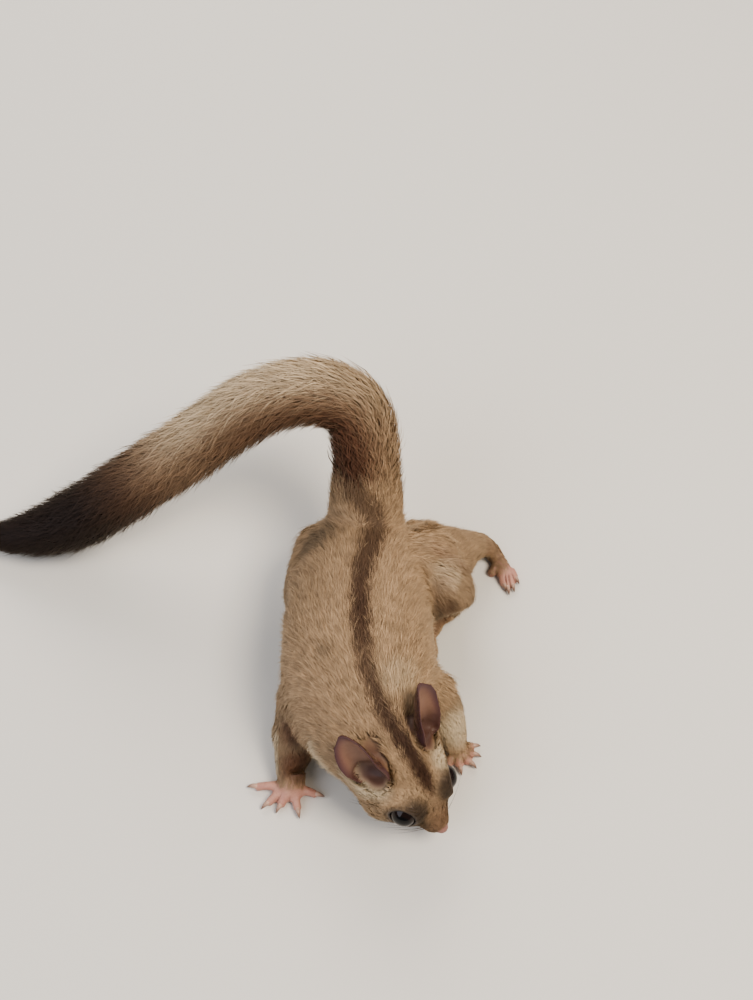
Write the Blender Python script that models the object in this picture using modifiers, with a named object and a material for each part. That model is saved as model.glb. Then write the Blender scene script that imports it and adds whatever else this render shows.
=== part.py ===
"""A sugar glider at life size, standing on the floor on all fours.

It sniffs at the floor with its head turned to its left, and its tail arches up and over to its
right until the dark end lies on the floor. The animal faces -Y, its left side is +X, +Z is up and
the floor is z = 0. Lengths in the tables are millimetres, and MM turns them to metres.
The flesh is modelled whole out to the tips of its short coat, smoothed, and parted with thin cuts.
"""

import math
import random

import bmesh
import bpy
from mathutils import Matrix, Vector

MM = 0.001
GAP = 0.3  # between pieces that touch, and the width of each thin cut
SIDES = {"left": 1, "right": -1}  # of the animal, as a sign along its own left

# Head: where the nose is, which way the head points, and its cross-sections
NOSE_TIP = (26.6, -59.6, 10.0)
HEAD_YAW = 44  # degrees that the face turns towards the animal's left
HEAD_PITCH = 33  # degrees that it points below the horizon
HEAD_STATIONS = (  # behind the nose tip, half width, height above and below the axis
    (0.4, 2.0, 2.0, 1.4),
    (2.0, 3.5, 3.3, 2.8),
    (5.0, 5.0, 4.8, 4.4),
    (9.0, 7.2, 6.5, 6.0),
    (13.0, 9.8, 8.5, 7.8),
    (18.0, 13.0, 10.7, 10.0),
    (24.0, 16.2, 12.3, 12.2),
    (31.0, 17.6, 12.8, 13.6),
    (39.0, 17.6, 12.0, 14.0),
)
MOUTH_LINE = (  # behind the nose tip, sideways and up, from the middle to the corner
    (1.2, 0.0, -2.6),
    (2.6, 2.4, -3.2),
    (5.5, 4.6, -3.9),
    (8.5, 5.8, -4.3),
    (11.0, 6.8, -4.0),
)
MOUTH_GROOVE = 0.5
NOSE_PLACE = (1.3, 0.0, 0.7)
NOSE_PAD = (1.5, 2.1, 1.6)
NOSTRIL = 0.55

EYE_RADIUS = 4.7
EYE_PLACE = (15.6, 8.3, 4.2)  # behind the nose tip, sideways, up
EYE_AXIS = (0.38, 0.84, 0.38)  # forward, sideways, up
LID_HEIGHT = 2.1  # of the ring of the lids, out from the middle of the eye
LID_THICKNESS = 0.9

EAR_BASE = (31.5, 10.0, 8.2)  # behind the nose tip, sideways, up
EAR_LEAN = {"right": (-0.90, 0.30, 0.32), "left": (-0.80, 0.26, 0.55)}  # forward, sideways, up
EAR_OPENING = {"right": (0.30, 0.80, 0.50), "left": (0.45, 0.45, 0.80)}
EAR_LENGTH = 20.0
EAR_WIDTH = 13.0
EAR_THICKNESS = 0.9
EAR_ROOT = 5.0  # length that is sunk in the head

# Trunk, from the tail root to the neck: centre, half width, half height
TRUNK_STATIONS = (
    (-3.6, 50.0, 33.0, 8.0, 7.5),
    (-3.8, 44.0, 30.5, 15.5, 13.5),
    (-4.2, 36.0, 28.0, 20.5, 17.8),
    (-4.5, 24.0, 26.5, 23.8, 20.5),
    (-4.4, 9.0, 26.0, 24.8, 22.0),
    (-4.0, -6.0, 26.5, 25.8, 22.0),
    (-2.4, -19.0, 26.0, 25.2, 21.2),
    (1.4, -29.0, 25.5, 22.2, 19.4),
    (5.4, -36.0, 26.0, 19.0, 16.8),
    (9.4, -41.4, 26.5, 16.4, 14.4),
)

# Limbs as tubes through points, with a radius at each
LIMBS = (
    ((-19, -18, 20, 10.5), (-23.3, -25.5, 14.5, 8.2), (-24.4, -33, 10, 6.8), (-24.8, -40.5, 6.2, 5.4),
     (-24.8, -45, 4.6, 4.8)),
    ((17, -14, 20, 10.0), (24.0, -16.5, 14.5, 7.8), (27.5, -21, 10, 6.4), (30.2, -26.0, 6.2, 5.0),
     (31.6, -29.2, 4.8, 4.5)),
    ((10, 40, 27, 14.0), (17.5, 31, 23.5, 14.5), (24.6, 24, 19.0, 12.8), (27.4, 18.5, 15.5, 9.8)),
    ((24, 21, 14, 8.5), (26.0, 34, 14.0, 8.5), (33, 46.6, 11.8, 6.4), (39.4, 51.8, 8.4, 5.1),
     (43.6, 53.2, 5.0, 4.4)),
    ((10, 44, 22, 8.5), (20, 47.2, 17, 7.2), (30, 48.8, 12.8, 6.2), (39, 51.8, 8.8, 5.2)),
    ((-12, 38, 28, 13.5), (-17, 30, 25, 13.0), (-21, 20.5, 20.5, 11.0), (-22, 15, 17, 8.5)),
    ((-20.5, 17, 16, 8.0), (-20.5, 29, 14.2, 7.4), (-20.7, 39, 9.4, 5.4), (-21.2, 43.5, 5.6, 4.8)),
)

# Wrists and ankles: a point on the joint's plane and the way to the paw
JOINTS = {
    "forepaw_right": ((-24.8, -40.0, 6.4), (0.0, -0.86, -0.50)),
    "forepaw_left": ((29.9, -25.2, 6.8), (0.40, -0.78, -0.48)),
    "hindfoot_left": ((39.4, 52.1, 8.5), (0.70, 0.16, -0.70)),
    "hindfoot_right": ((-20.8, 39.4, 9.2), (-0.08, 0.52, -0.85)),
}
PAW_CORES = {  # tubes that make each palm or sole
    "forepaw_right": (
        ((-24.8, -37.5, 7.8, 4.9), (-24.8, -41.5, 5.2, 4.7), (-25.0, -44.6, 3.2, 4.4)),
        ((-28.6, -43.6, 2.3, 2.9), (-25.4, -46.0, 2.4, 3.1), (-21.6, -44.6, 2.3, 2.8)),
    ),
    "forepaw_left": (
        ((28.9, -23.4, 8.0, 4.7), (30.3, -26.2, 5.2, 4.4), (30.8, -27.8, 3.2, 3.8)),
        ((33.2, -27.6, 2.1, 2.4), (31.8, -29.6, 2.3, 2.7), (29.8, -29.8, 2.1, 2.4)),
    ),
    "hindfoot_left": (
        ((37.4, 51.4, 10.4, 4.6), (41.4, 52.6, 6.6, 4.2), (44.2, 53.4, 3.9, 3.5)),
        ((44.4, 54.0, 3.2, 3.4), (47.6, 49.2, 2.4, 2.8), (50.0, 44.8, 2.2, 2.9)),
        ((48.0, 46.2, 2.1, 2.3), (49.6, 44.2, 2.1, 2.6), (51.8, 45.2, 2.0, 2.2)),
    ),
    "hindfoot_right": (
        ((-20.7, 38.0, 11.6, 4.8), (-21.3, 41.8, 6.4, 4.4), (-21.6, 42.6, 3.9, 3.8)),
        ((-21.6, 43.0, 3.4, 3.5), (-22.2, 36.0, 2.8, 3.1), (-22.8, 30.0, 2.6, 3.2)),
        ((-20.4, 33.4, 2.5, 2.7), (-22.4, 29.6, 2.4, 2.9), (-25.6, 30.6, 2.3, 2.4)),
    ),
}
DIGITS = {  # root and end of each digit on the floor plan
    "forepaw_right": (
        (-29.2, -43.8, -37.4, -44.0), (-28.2, -45.9, -32.6, -49.9), (-26.0, -46.6, -28.2, -50.6),
        (-23.4, -46.6, -22.0, -51.8), (-21.0, -44.8, -15.8, -45.9),
    ),
    "forepaw_left": (
        (33.6, -27.0, 37.4, -26.2), (33.8, -28.4, 37.6, -29.2), (33.2, -29.8, 36.4, -32.4),
        (31.8, -30.8, 32.6, -34.2), (29.6, -30.8, 28.2, -34.0),
    ),
    "hindfoot_left": (
        (48.8, 43.6, 49.7, 39.2), (50.0, 43.2, 51.0, 37.8), (51.2, 43.4, 52.7, 39.0),
        (52.2, 44.8, 54.0, 42.2), (47.2, 47.2, 44.2, 43.2),
    ),
    "hindfoot_right": (
        (-20.8, 29.0, -19.4, 23.4), (-22.0, 28.4, -21.4, 21.6), (-23.6, 28.6, -23.8, 21.8),
        (-25.0, 29.6, -26.4, 24.2), (-19.6, 34.0, -15.2, 30.8),
    ),
}
DIGIT_RADII = (2.0, 1.6, 1.45, 1.65)  # at the root, the two joints and the pad of the tip

# Gliding membrane, gathered along each side: its free edge from the wrist to the ankle
MEMBRANE_EDGES = {
    "right": ((-31.2, -37.5, 7.5), (-32.0, -30, 9.5), (-31.4, -20, 11.0), (-30.6, -6, 11.0),
              (-30.8, 7, 11.0), (-30.0, 18, 10.0), (-29.6, 28, 8.6), (-27.4, 35, 8.2)),
    "left": ((33.4, -22.0, 8.5), (32.6, -16, 10.0), (28.0, -9, 11.0), (24.4, -1, 11.0),
             (23.6, 8, 11.0), (25.0, 14.5, 10.0), (31.0, 22, 8.4), (34.6, 36, 7.4), (37.6, 44.0, 7.8)),
}
MEMBRANE_REACH = 11.0  # from the free edge in to the flesh
MEMBRANE_THICKNESS = 1.7
MEMBRANE_SECTION = (  # round its section: depth from the edge, half thickness above and below
    (0, -0.3), (0, 0.3), (1.2, 0.42), (11.0, 1.3), (11.0, -1.3), (1.2, -0.42),
)
MEMBRANE_WAVES = 7
MEMBRANE_WAVE = 0.8

# Tail: its centre line from the rump over the arch to the floor, and the reach of its coat
TAIL_LINE = (
    (-3.6, 44.0, 35.0), (-3.8, 53.5, 46.5), (-4.8, 62.6, 58.0), (-8.6, 69.0, 66.4), (-16.5, 71.4, 71.2),
    (-27.0, 71.2, 72.4), (-38.0, 69.6, 70.0), (-49.0, 66.6, 64.6), (-61.0, 62.2, 56.2),
    (-73.5, 58.3, 47.2), (-86.0, 55.0, 37.8), (-98.0, 52.0, 28.6), (-110.0, 49.5, 20.0),
    (-122.0, 48.0, 13.4), (-134.0, 47.0, 9.8), (-143.0, 46.6, 8.4),
)
TAIL_REACH = 11.9
TAIL_TIP_REACH = 3.4
TAIL_FROM, TAIL_TO = 14.5, 205.0  # along the line: where the flesh ends, and the tips of the coat
TAIL_CUTS = (52.0, 104.0, 154.0)
TAIL_NAMES = ("tail_base", "tail_arch", "tail_middle", "tail_tip")
TAIL_CORE = 6.0  # radius under the coat, thicker at the rump where the fur is short
TAIL_CORE_ROOT = 12.2
TAIL_FADE = 18.0  # length over which the core slims
LOCK_RINGS = 15.5  # from one ring of locks to the next
LOCKS_AROUND = 7
LOCK_LENGTH = 25.0
LOCK_SHAPE = (  # along, width, thickness
    (0.0, 4.4, 2.6), (0.3, 8.6, 2.3), (0.7, 8.0, 1.7), (1.0, 2.2, 0.4),
)
SEED = 7

FLESH = (0.8, 24, 3800)  # voxel size, rounds of smoothing, triangles
PAW = (0.36, 5, 340)

LOOKS = {  # start of a node's name: surface, colour and roughness
    "eye": ("cornea", (0.01, 0.01, 0.012), 0.05),
    "ear": ("ear skin", (0.30, 0.19, 0.20), 0.6),
    "nose": ("nose skin", (0.75, 0.45, 0.42), 0.5),
    "forepaw": ("paw skin", (0.78, 0.52, 0.48), 0.6),
    "hindfoot": ("paw skin", (0.78, 0.52, 0.48), 0.6),
    "gliding": ("membrane fur", (0.36, 0.29, 0.22), 0.9),
    "tail_tip": ("dark fur", (0.16, 0.11, 0.08), 0.95),
    "": ("fur", (0.62, 0.52, 0.38), 0.95),
}

# Thin cuts that part the flesh, in order: a point, the way to the piece, its length and width
PARTINGS = (
    ("foreleg_right", (-20.5, -22.5, 17.0), (-0.66, -0.42, -0.62), 44, 26),
    ("foreleg_left", (20.5, -14.5, 17.0), (0.72, -0.36, -0.60), 44, 24),
    ("hindleg_left", (17.0, 30.0, 17.5), (0.86, 0.0, -0.51), 60, 66),
    ("hindleg_right", (-14.0, 28.0, 17.5), (-0.80, 0.0, -0.60), 50, 48),
    ("head", (3.6, -31.8, 32.0), (0.30, -0.86, -0.41), 60, 60),
    ("neck", (0.2, -22.5, 29.0), (0.12, -0.95, -0.28), 60, 64),
)


def metres(point):
    """A point or a size in millimetres as a vector in metres."""
    return Vector(point) * MM


def head_turn():
    """The head's own axes as a 3 x 3 matrix: x forward, y to its left, z up."""
    yaw, pitch = math.radians(HEAD_YAW), math.radians(HEAD_PITCH)
    level = Vector((math.sin(yaw), -math.cos(yaw), 0))
    forward = level * math.cos(pitch) + Vector((0, 0, -math.sin(pitch)))
    left = Vector((0, 0, 1)).cross(level)
    return Matrix((forward, left, forward.cross(left))).transposed()


def on_head(back, side, up):
    """A point given as millimetres behind the nose tip, to the left and up, in metres."""
    return metres(NOSE_TIP) + head_turn() @ metres((-back, side, up))


def head_way(direction, side):
    """A unit direction given as forward, outward on one side and up."""
    forward, out, up = direction
    return (head_turn() @ Vector((forward, out * side, up))).normalized()


def clear_scene():
    """Removes whatever the scene holds."""
    for old in list(bpy.data.objects):
        bpy.data.objects.remove(old)


def new_collection(name):
    """A collection linked to the scene."""
    made = bpy.data.collections.new(name)
    bpy.context.scene.collection.children.link(made)
    return made


def material(name, colour, roughness):
    """A Principled material with one colour."""
    made = bpy.data.materials.new(name)
    made.use_nodes = True
    shader = made.node_tree.nodes["Principled BSDF"]
    shader.inputs["Base Color"].default_value = (*colour, 1)
    shader.inputs["Roughness"].default_value = roughness
    shader.inputs["Metallic"].default_value = 0
    return made


def mesh_object(name, shape, collection):
    """An object from a bmesh, which is then freed."""
    mesh = bpy.data.meshes.new(name)
    bmesh.ops.recalc_face_normals(shape, faces=shape.faces)
    shape.to_mesh(mesh)
    shape.free()
    made = bpy.data.objects.new(name, mesh)
    collection.objects.link(made)
    return made


def applied(obj):
    """Puts the object's evaluated mesh in place of its mesh and modifiers."""
    bpy.context.view_layer.update()
    graph = bpy.context.evaluated_depsgraph_get()
    mesh = bpy.data.meshes.new_from_object(obj.evaluated_get(graph), depsgraph=graph)
    obj.modifiers.clear()
    obj.data = mesh
    return obj


def boolean(target, other, operation, solver="EXACT"):
    """Applies one Boolean of target with an object or with a collection."""
    step = target.modifiers.new(operation.title(), "BOOLEAN")
    step.operation = operation
    step.solver = solver
    if isinstance(other, bpy.types.Collection):
        step.operand_type = "COLLECTION"
        step.collection = other
    else:
        step.object = other
    return applied(target)


def copy_of(obj, name):
    """A copy of an object with its own mesh, in the same collections."""
    made = obj.copy()
    made.data = obj.data.copy()
    made.name = name
    for holder in obj.users_collection:
        holder.objects.link(made)
    return made


def remove(*objects):
    """Deletes helpers that have done their work."""
    for obj in objects:
        bpy.data.objects.remove(obj)


def keep_largest(obj):
    """Keeps only the largest closed surface of the object."""
    shape = bmesh.new()
    shape.from_mesh(obj.data)
    left = set(shape.verts)
    islands = []
    while left:
        island, edge = [], [left.pop()]
        while edge:
            vert = edge.pop()
            island.append(vert)
            for link in vert.link_edges:
                other = link.other_vert(vert)
                if other in left:
                    left.discard(other)
                    edge.append(other)
        islands.append(island)
    islands.sort(key=box_volume)
    drop = [vert for island in islands[:-1] for vert in island]
    bmesh.ops.delete(shape, geom=drop, context="VERTS")
    bmesh.ops.triangulate(shape, faces=shape.faces)
    shape.to_mesh(obj.data)
    shape.free()
    return obj


def box_volume(verts):
    """The volume of the box round some vertices."""
    return math.prod(
        max(vert.co[i] for vert in verts) - min(vert.co[i] for vert in verts) for i in range(3)
    )


def ellipsoid(name, centre, radii, collection, turn=None, segments=16, rings=10):
    """A closed ellipsoid. centre is in metres, radii in millimetres, turn a 3 x 3 matrix."""
    shape = bmesh.new()
    bmesh.ops.create_uvsphere(shape, u_segments=segments, v_segments=rings, radius=1)
    bmesh.ops.scale(shape, vec=metres(radii), verts=shape.verts)
    placed = Matrix.Translation(centre) @ (turn or Matrix.Identity(3)).to_4x4()
    bmesh.ops.transform(shape, matrix=placed, verts=shape.verts)
    return mesh_object(name, shape, collection)


def facing(direction):
    """A 3 x 3 matrix whose x axis is the direction."""
    return direction.to_track_quat("X", "Z").to_matrix()


def block(name, start, direction, length, width, collection):
    """A box that runs some millimetres along a direction from the middle of its first face."""
    shape = bmesh.new()
    bmesh.ops.create_cube(shape, size=1)
    bmesh.ops.translate(shape, vec=(0.5, 0, 0), verts=shape.verts)
    bmesh.ops.scale(shape, vec=metres((length, width, width)), verts=shape.verts)
    placed = Matrix.Translation(start) @ facing(direction).to_4x4()
    bmesh.ops.transform(shape, matrix=placed, verts=shape.verts)
    return mesh_object(name, shape, collection)


def loft(name, rings, collection):
    """A closed skin over a list of rings of points, each with as many points."""
    shape = bmesh.new()
    loops = [[shape.verts.new(point) for point in ring] for ring in rings]
    for first, second in zip(loops, loops[1:]):
        for i in range(len(first)):
            j = (i + 1) % len(first)
            shape.faces.new((first[i], first[j], second[j], second[i]))
    shape.faces.new(list(reversed(loops[0])))
    shape.faces.new(loops[-1])
    bmesh.ops.triangulate(shape, faces=shape.faces)
    return mesh_object(name, shape, collection)


def tube(name, points, radii, collection, resolution=2):
    """A closed round tube through points in metres, with a radius in millimetres at each."""
    line = bpy.data.curves.new(name, "CURVE")
    line.dimensions = "3D"
    line.bevel_depth = MM
    line.bevel_resolution = resolution
    line.use_fill_caps = True
    spline = line.splines.new("POLY")
    spline.points.add(len(points) - 1)
    for spot, point, radius in zip(spline.points, points, radii):
        spot.co = (*point, 1)
        spot.radius = radius
    drawn = bpy.data.objects.new(name + "_line", line)
    collection.objects.link(drawn)
    bpy.context.view_layer.update()
    graph = bpy.context.evaluated_depsgraph_get()
    mesh = bpy.data.meshes.new_from_object(drawn.evaluated_get(graph), depsgraph=graph)
    shape = bmesh.new()
    shape.from_mesh(mesh)
    bmesh.ops.remove_doubles(shape, verts=shape.verts, dist=0.01 * MM)
    remove(drawn)
    return mesh_object(name, shape, collection)


def lid_ring(middle, turn, work):
    """A closed oval ring, the rims of both lids, out in front of the middle of an eye."""
    around, sides = 16, 6
    ring = math.sqrt(EYE_RADIUS**2 - LID_HEIGHT**2)
    shape = bmesh.new()
    loops = []
    for i in range(around):
        angle = math.tau * i / around
        way = Vector((0, math.cos(angle), math.sin(angle)))
        loops.append([
            shape.verts.new(middle + turn @ metres(
                way * (ring * (1 - 0.1 * abs(way.z)) + LID_THICKNESS * math.cos(math.tau * k / sides))
                + Vector((LID_HEIGHT + LID_THICKNESS * math.sin(math.tau * k / sides), 0, 0))
            ))
            for k in range(sides)
        ])
    for i in range(around):
        for k in range(sides):
            j, n = (i + 1) % around, (k + 1) % sides
            shape.faces.new((loops[i][k], loops[i][n], loops[j][n], loops[j][k]))
    return mesh_object("lids", shape, work)


def smooth_line(points, steps):
    """Rows of numbers on a Catmull-Rom curve through the given rows."""
    spots = [Vector(point) for point in points]
    spots = [2 * spots[0] - spots[1], *spots, 2 * spots[-1] - spots[-2]]
    found = []
    for a, b, c, d in zip(spots, spots[1:], spots[2:], spots[3:]):
        for i in range(steps):
            t = i / steps
            found.append(
                0.5 * (2 * b + (c - a) * t + (2 * a - 5 * b + 4 * c - d) * t**2
                       + (3 * b - a - 3 * c + d) * t**3)
            )
    return [*found, spots[-2]]


def bent_tube(name, rows, collection, steps=4, resolution=4):
    """A tube through rows of x, y, z and radius in millimetres, rounded between them."""
    line = smooth_line(rows, steps)
    tube(name, [metres(row[:3]) for row in line], [row[3] for row in line], collection, resolution)


def trunk(collection):
    """The body from the tail root to the neck."""
    sides = 28
    stations = smooth_line(TRUNK_STATIONS, 3)
    centres = [metres(row[:3]) for row in stations]
    rings = []
    for i, row in enumerate(stations):
        along = (centres[min(i + 1, len(centres) - 1)] - centres[max(i - 1, 0)]).normalized()
        side = along.cross(Vector((0, 0, 1))).normalized()
        up = side.cross(along)
        ring = []
        for k in range(sides):
            angle = math.tau * k / sides
            ring.append(
                centres[i] + side * math.cos(angle) * row[3] * MM + up * math.sin(angle) * row[4] * MM
            )
        rings.append(ring)
    loft("trunk", rings, collection)


def skull(collection):
    """Head with brows, cheeks, whisker pads, lower jaw and the mounds that carry the ears."""
    sides = 24
    rings = []
    for back, half_width, above, below in smooth_line(HEAD_STATIONS, 2):
        ring = []
        for k in range(sides):
            rise = math.sin(math.tau * k / sides)
            height = above if rise > 0 else below
            ring.append(
                on_head(back, math.cos(math.tau * k / sides) * half_width, rise * height)
            )
        rings.append(ring)
    loft("skull", rings, collection)
    turn = head_turn()
    ellipsoid("jaw", on_head(11.0, 0, -5.6), (8.8, 4.4, 3.0), collection, turn)
    for side in SIDES.values():
        ellipsoid("cheek", on_head(22, side * 10.2, -4.4), (9.5, 6.6, 7.0), collection, turn)
        axis = head_way(EYE_AXIS, side)
        middle = on_head(EYE_PLACE[0], EYE_PLACE[1] * side, EYE_PLACE[2])
        mound = [middle + axis * reach * MM for reach in (-7, -1.0, LID_HEIGHT + 0.9)]
        tube("eye_mound", mound, (7.6, 7.4, 5.9), collection, 4)
        ellipsoid("whisker_pad", on_head(6.0, side * 2.3, -1.6), (5.2, 2.9, 2.6), collection, turn)
        root = [on_head(EAR_BASE[0] - 3, side * 8.0, 4.6), on_head(EAR_BASE[0] + 2.0, side * 10.6, 9.6)]
        tube("ear_mound", root, (6.6, 4.4), collection, 3)


def flesh(work):
    """The furred body as one smooth closed surface, without paws, ears, eyes and tail."""
    parts = new_collection("flesh parts")
    trunk(parts)
    skull(parts)
    for rows in LIMBS:
        bent_tube("limb", rows, parts)
    tail_line = smooth_line(TAIL_LINE[:4], 4)
    tube("tail_root", [metres(p) for p in [(-4, 34, 28), *tail_line[:8]]],
         (16, *(13.6 - 0.32 * i for i in range(8))), parts, 5)
    return melt(parts, "whole", FLESH, work)


def melt(parts, name, way, work):
    """One smooth closed surface over a collection of pieces, which are then removed."""
    voxel, rounds, triangles = way
    shape = bmesh.new()
    for piece in list(parts.objects):
        shape.from_mesh(piece.data)
        remove(piece)
    bpy.data.collections.remove(parts)
    made = mesh_object(name, shape, work)
    fused = made.modifiers.new("Fuse", "REMESH")
    fused.mode = "VOXEL"
    fused.voxel_size = voxel * MM
    soft = made.modifiers.new("Soften", "SMOOTH")
    soft.factor = 0.5
    soft.iterations = rounds
    applied(made)
    thinned = made.modifiers.new("Thin", "DECIMATE")
    made.data.calc_loop_triangles()
    thinned.ratio = triangles / len(made.data.loop_triangles)
    applied(made)
    return keep_largest(made)


def grown(obj, distance, name):
    """A copy of a closed object with its surface moved out by some millimetres."""
    made = copy_of(obj, name)
    step = made.modifiers.new("Grow", "DISPLACE")
    step.mid_level = 0
    step.strength = distance * MM
    return applied(made)


def part_off(whole, name, point, direction, length, width):
    """Takes the piece of the whole inside a block off it, with a thin cut between the two."""
    holder = whole.users_collection[0]
    start, way = metres(point), Vector(direction).normalized()
    inside = block("inside", start, way, length, width, holder)
    piece = keep_largest(boolean(copy_of(whole, name), inside, "INTERSECT"))
    outside = block("outside", start - way * GAP * MM, way, length + 2 * GAP, width + 2 * GAP, holder)
    keep_largest(boolean(whole, outside, "DIFFERENCE"))
    remove(inside, outside)
    return piece


def paw(name, work, flesh_grown):
    """One paw: palm or sole, five digits with pads and claws, cut at the joint and at the floor."""
    parts = new_collection(name + " parts")
    claws = new_collection(name + " claws")
    for rows in PAW_CORES[name]:
        bent_tube("core", rows, parts, 2, 3)
    hind = name.startswith("hindfoot")
    for i, (x0, y0, x1, y1) in enumerate(DIGITS[name]):
        way = Vector((x1 - x0, y1 - y0, 0))
        reach = way.length
        way.normalize()
        start = Vector((x0, y0, 0))
        root, knuckle, joint, pad = [radius * (1.1 if hind else 1.0) for radius in DIGIT_RADII]
        stops = ((0, 2.2, root), (0.35, 2.6, knuckle), (0.68, 1.9, joint), (0.88, 1.15, pad),
                 (1, 1.2, pad * 0.6))
        line = [metres(start + way * reach * t + Vector((0, 0, z))) for t, z, _ in stops]
        tube("digit", line, [radius for _, _, radius in stops], parts, 2)
        if hind and i == len(DIGITS[name]) - 1:
            continue  # the great toe has no claw
        stops = ((-0.9, 1.8, 0.8), (0.4, 2.0, 0.7), (1.5, 1.6, 0.45), (2.2, 0.85, 0.16))
        line = [metres(start + way * (reach + ahead) + Vector((0, 0, z))) for ahead, z, _ in stops]
        tube("claw", line, [radius for _, _, radius in stops], claws, 0)
    made = melt(parts, name, PAW, work)
    boolean(made, claws, "UNION")
    remove(*claws.objects)
    bpy.data.collections.remove(claws)
    point, direction = JOINTS[name]
    way = Vector(direction).normalized()
    behind = block("behind", metres(point) + way * GAP * MM, -way, 30, 60, work)
    below = block("below", metres((point[0], point[1], 0)), Vector((0, 0, -1)), 20, 80, work)
    for cutter in (behind, below, flesh_grown):
        boolean(made, cutter, "DIFFERENCE")
    remove(behind, below)
    return keep_largest(made)


def ear(name, side, work):
    """A thin cupped ear: tube-like at the root, opening out and rounded at the tip."""
    lean = head_way(EAR_LEAN[name[4:]], side)
    opening = head_way(EAR_OPENING[name[4:]], side)
    opening = (opening - lean * opening.dot(lean)).normalized()
    across = lean.cross(opening)
    root = on_head(EAR_BASE[0], EAR_BASE[1] * side, EAR_BASE[2])
    rows, columns = 9, 7

    def spot(t, u, lift):
        """A point of the ear's front or back: t from root to tip, u across from -1 to 1."""
        along = -EAR_ROOT + (EAR_LENGTH + EAR_ROOT) * t
        half = EAR_WIDTH / 2 * math.sqrt(max(0.02, 1 - abs((t - 0.62) / 0.62) ** 2.2))
        half *= math.sqrt(max(0.03, 1 - max(0.0, (t - 0.62) / 0.385) ** 2.4))
        curl = math.radians(118 - 66 * min(1, t * 1.3))
        radius = half / math.sin(min(curl, math.pi / 2))
        angle = u * curl
        depth = radius * (1 - math.cos(angle)) * 0.8 - 1.6 * t * t
        rim = 1 - 0.5 * abs(u) ** 3
        out = depth + lift * EAR_THICKNESS / 2 * rim * math.cos(angle * 0.9)
        wide = radius * math.sin(angle) - lift * EAR_THICKNESS / 2 * rim * math.sin(angle * 0.9)
        return root + (lean * along + across * wide + opening * (out - 1.5)) * MM

    rings = []
    for i in range(rows + 1):
        t = i / rows
        steps = [2 * k / columns - 1 for k in range(columns + 1)]
        rings.append([spot(t, u, 1) for u in steps] + [spot(t, u, -1) for u in reversed(steps)])
    return loft(name, rings, work)


def membrane(name, side, work):
    """The gathered edge of the gliding membrane, from the wrist along the flank to the ankle."""
    line = smooth_line(MEMBRANE_EDGES[name.rsplit("_", 1)[1]], 3)
    rings = []
    for i, spot in enumerate(line):
        inward = (Vector((-4.0 + 9 * side, spot.y * 0.9 - 2, 19)) - spot).normalized()
        ahead = (line[min(i + 1, len(line) - 1)] - line[max(i - 1, 0)]).normalized()
        lift = ahead.cross(inward).normalized()
        wave = MEMBRANE_WAVE * math.sin(math.tau * MEMBRANE_WAVES * i / (len(line) - 1))
        near_end = min(1, min(i, len(line) - 1 - i) / 3)
        wave -= 4.5 * (1 - math.sin(math.pi / 2 * near_end))
        ring = []
        for depth, half in MEMBRANE_SECTION:
            fade = 1 - depth / MEMBRANE_REACH
            ring.append(spot + inward * (depth - wave * fade) + lift * half * MEMBRANE_THICKNESS)
        rings.append([metres(point) for point in ring])
    return loft(name, rings, work)


def face_details(head, work):
    """Lids round each eye, sockets, the line of the mouth, and room for the pad of the nose."""
    for side in SIDES.values():
        axis = head_way(EYE_AXIS, side)
        middle = on_head(EYE_PLACE[0], EYE_PLACE[1] * side, EYE_PLACE[2])
        turn = facing(axis)
        lids = lid_ring(middle, turn, work)
        boolean(head, lids, "UNION")
        socket = ellipsoid("socket", middle, [EYE_RADIUS + GAP] * 3, work, turn, 16, 10)
        boolean(head, socket, "DIFFERENCE")
        remove(lids, socket)
    corner = [(back, -across, up) for back, across, up in reversed(MOUTH_LINE[1:])]
    line = []
    bpy.context.view_layer.update()
    for back, across, up in smooth_line([*corner, *MOUTH_LINE], 2):
        _, near, normal, _ = head.closest_point_on_mesh(on_head(back, across, up))
        line.append(near + normal * 0.1 * MM)
    width = [MOUTH_GROOVE * (0.55 if i in (0, len(line) - 1) else 1) for i in range(len(line))]
    groove = tube("groove", line, width, work, 1)
    boolean(head, groove, "DIFFERENCE")
    remove(groove)
    return keep_largest(head)


def nose(work):
    """The bare pad of the nose with its two nostrils."""
    turn = head_turn()
    made = ellipsoid("nose", on_head(*NOSE_PLACE), NOSE_PAD, work, turn, 14, 8)
    for side in SIDES.values():
        stops = ((-1.2, 1.2, 0.4), (0.2, 1.1, 0.4), (0.9, 0.9, 0.5))
        line = [on_head(back, side * across, up) for back, across, up in stops]
        hole = tube("hole", line, (NOSTRIL * 1.15, NOSTRIL, NOSTRIL * 0.5), work, 1)
        boolean(made, hole, "DIFFERENCE")
        remove(hole)
    return made


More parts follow.
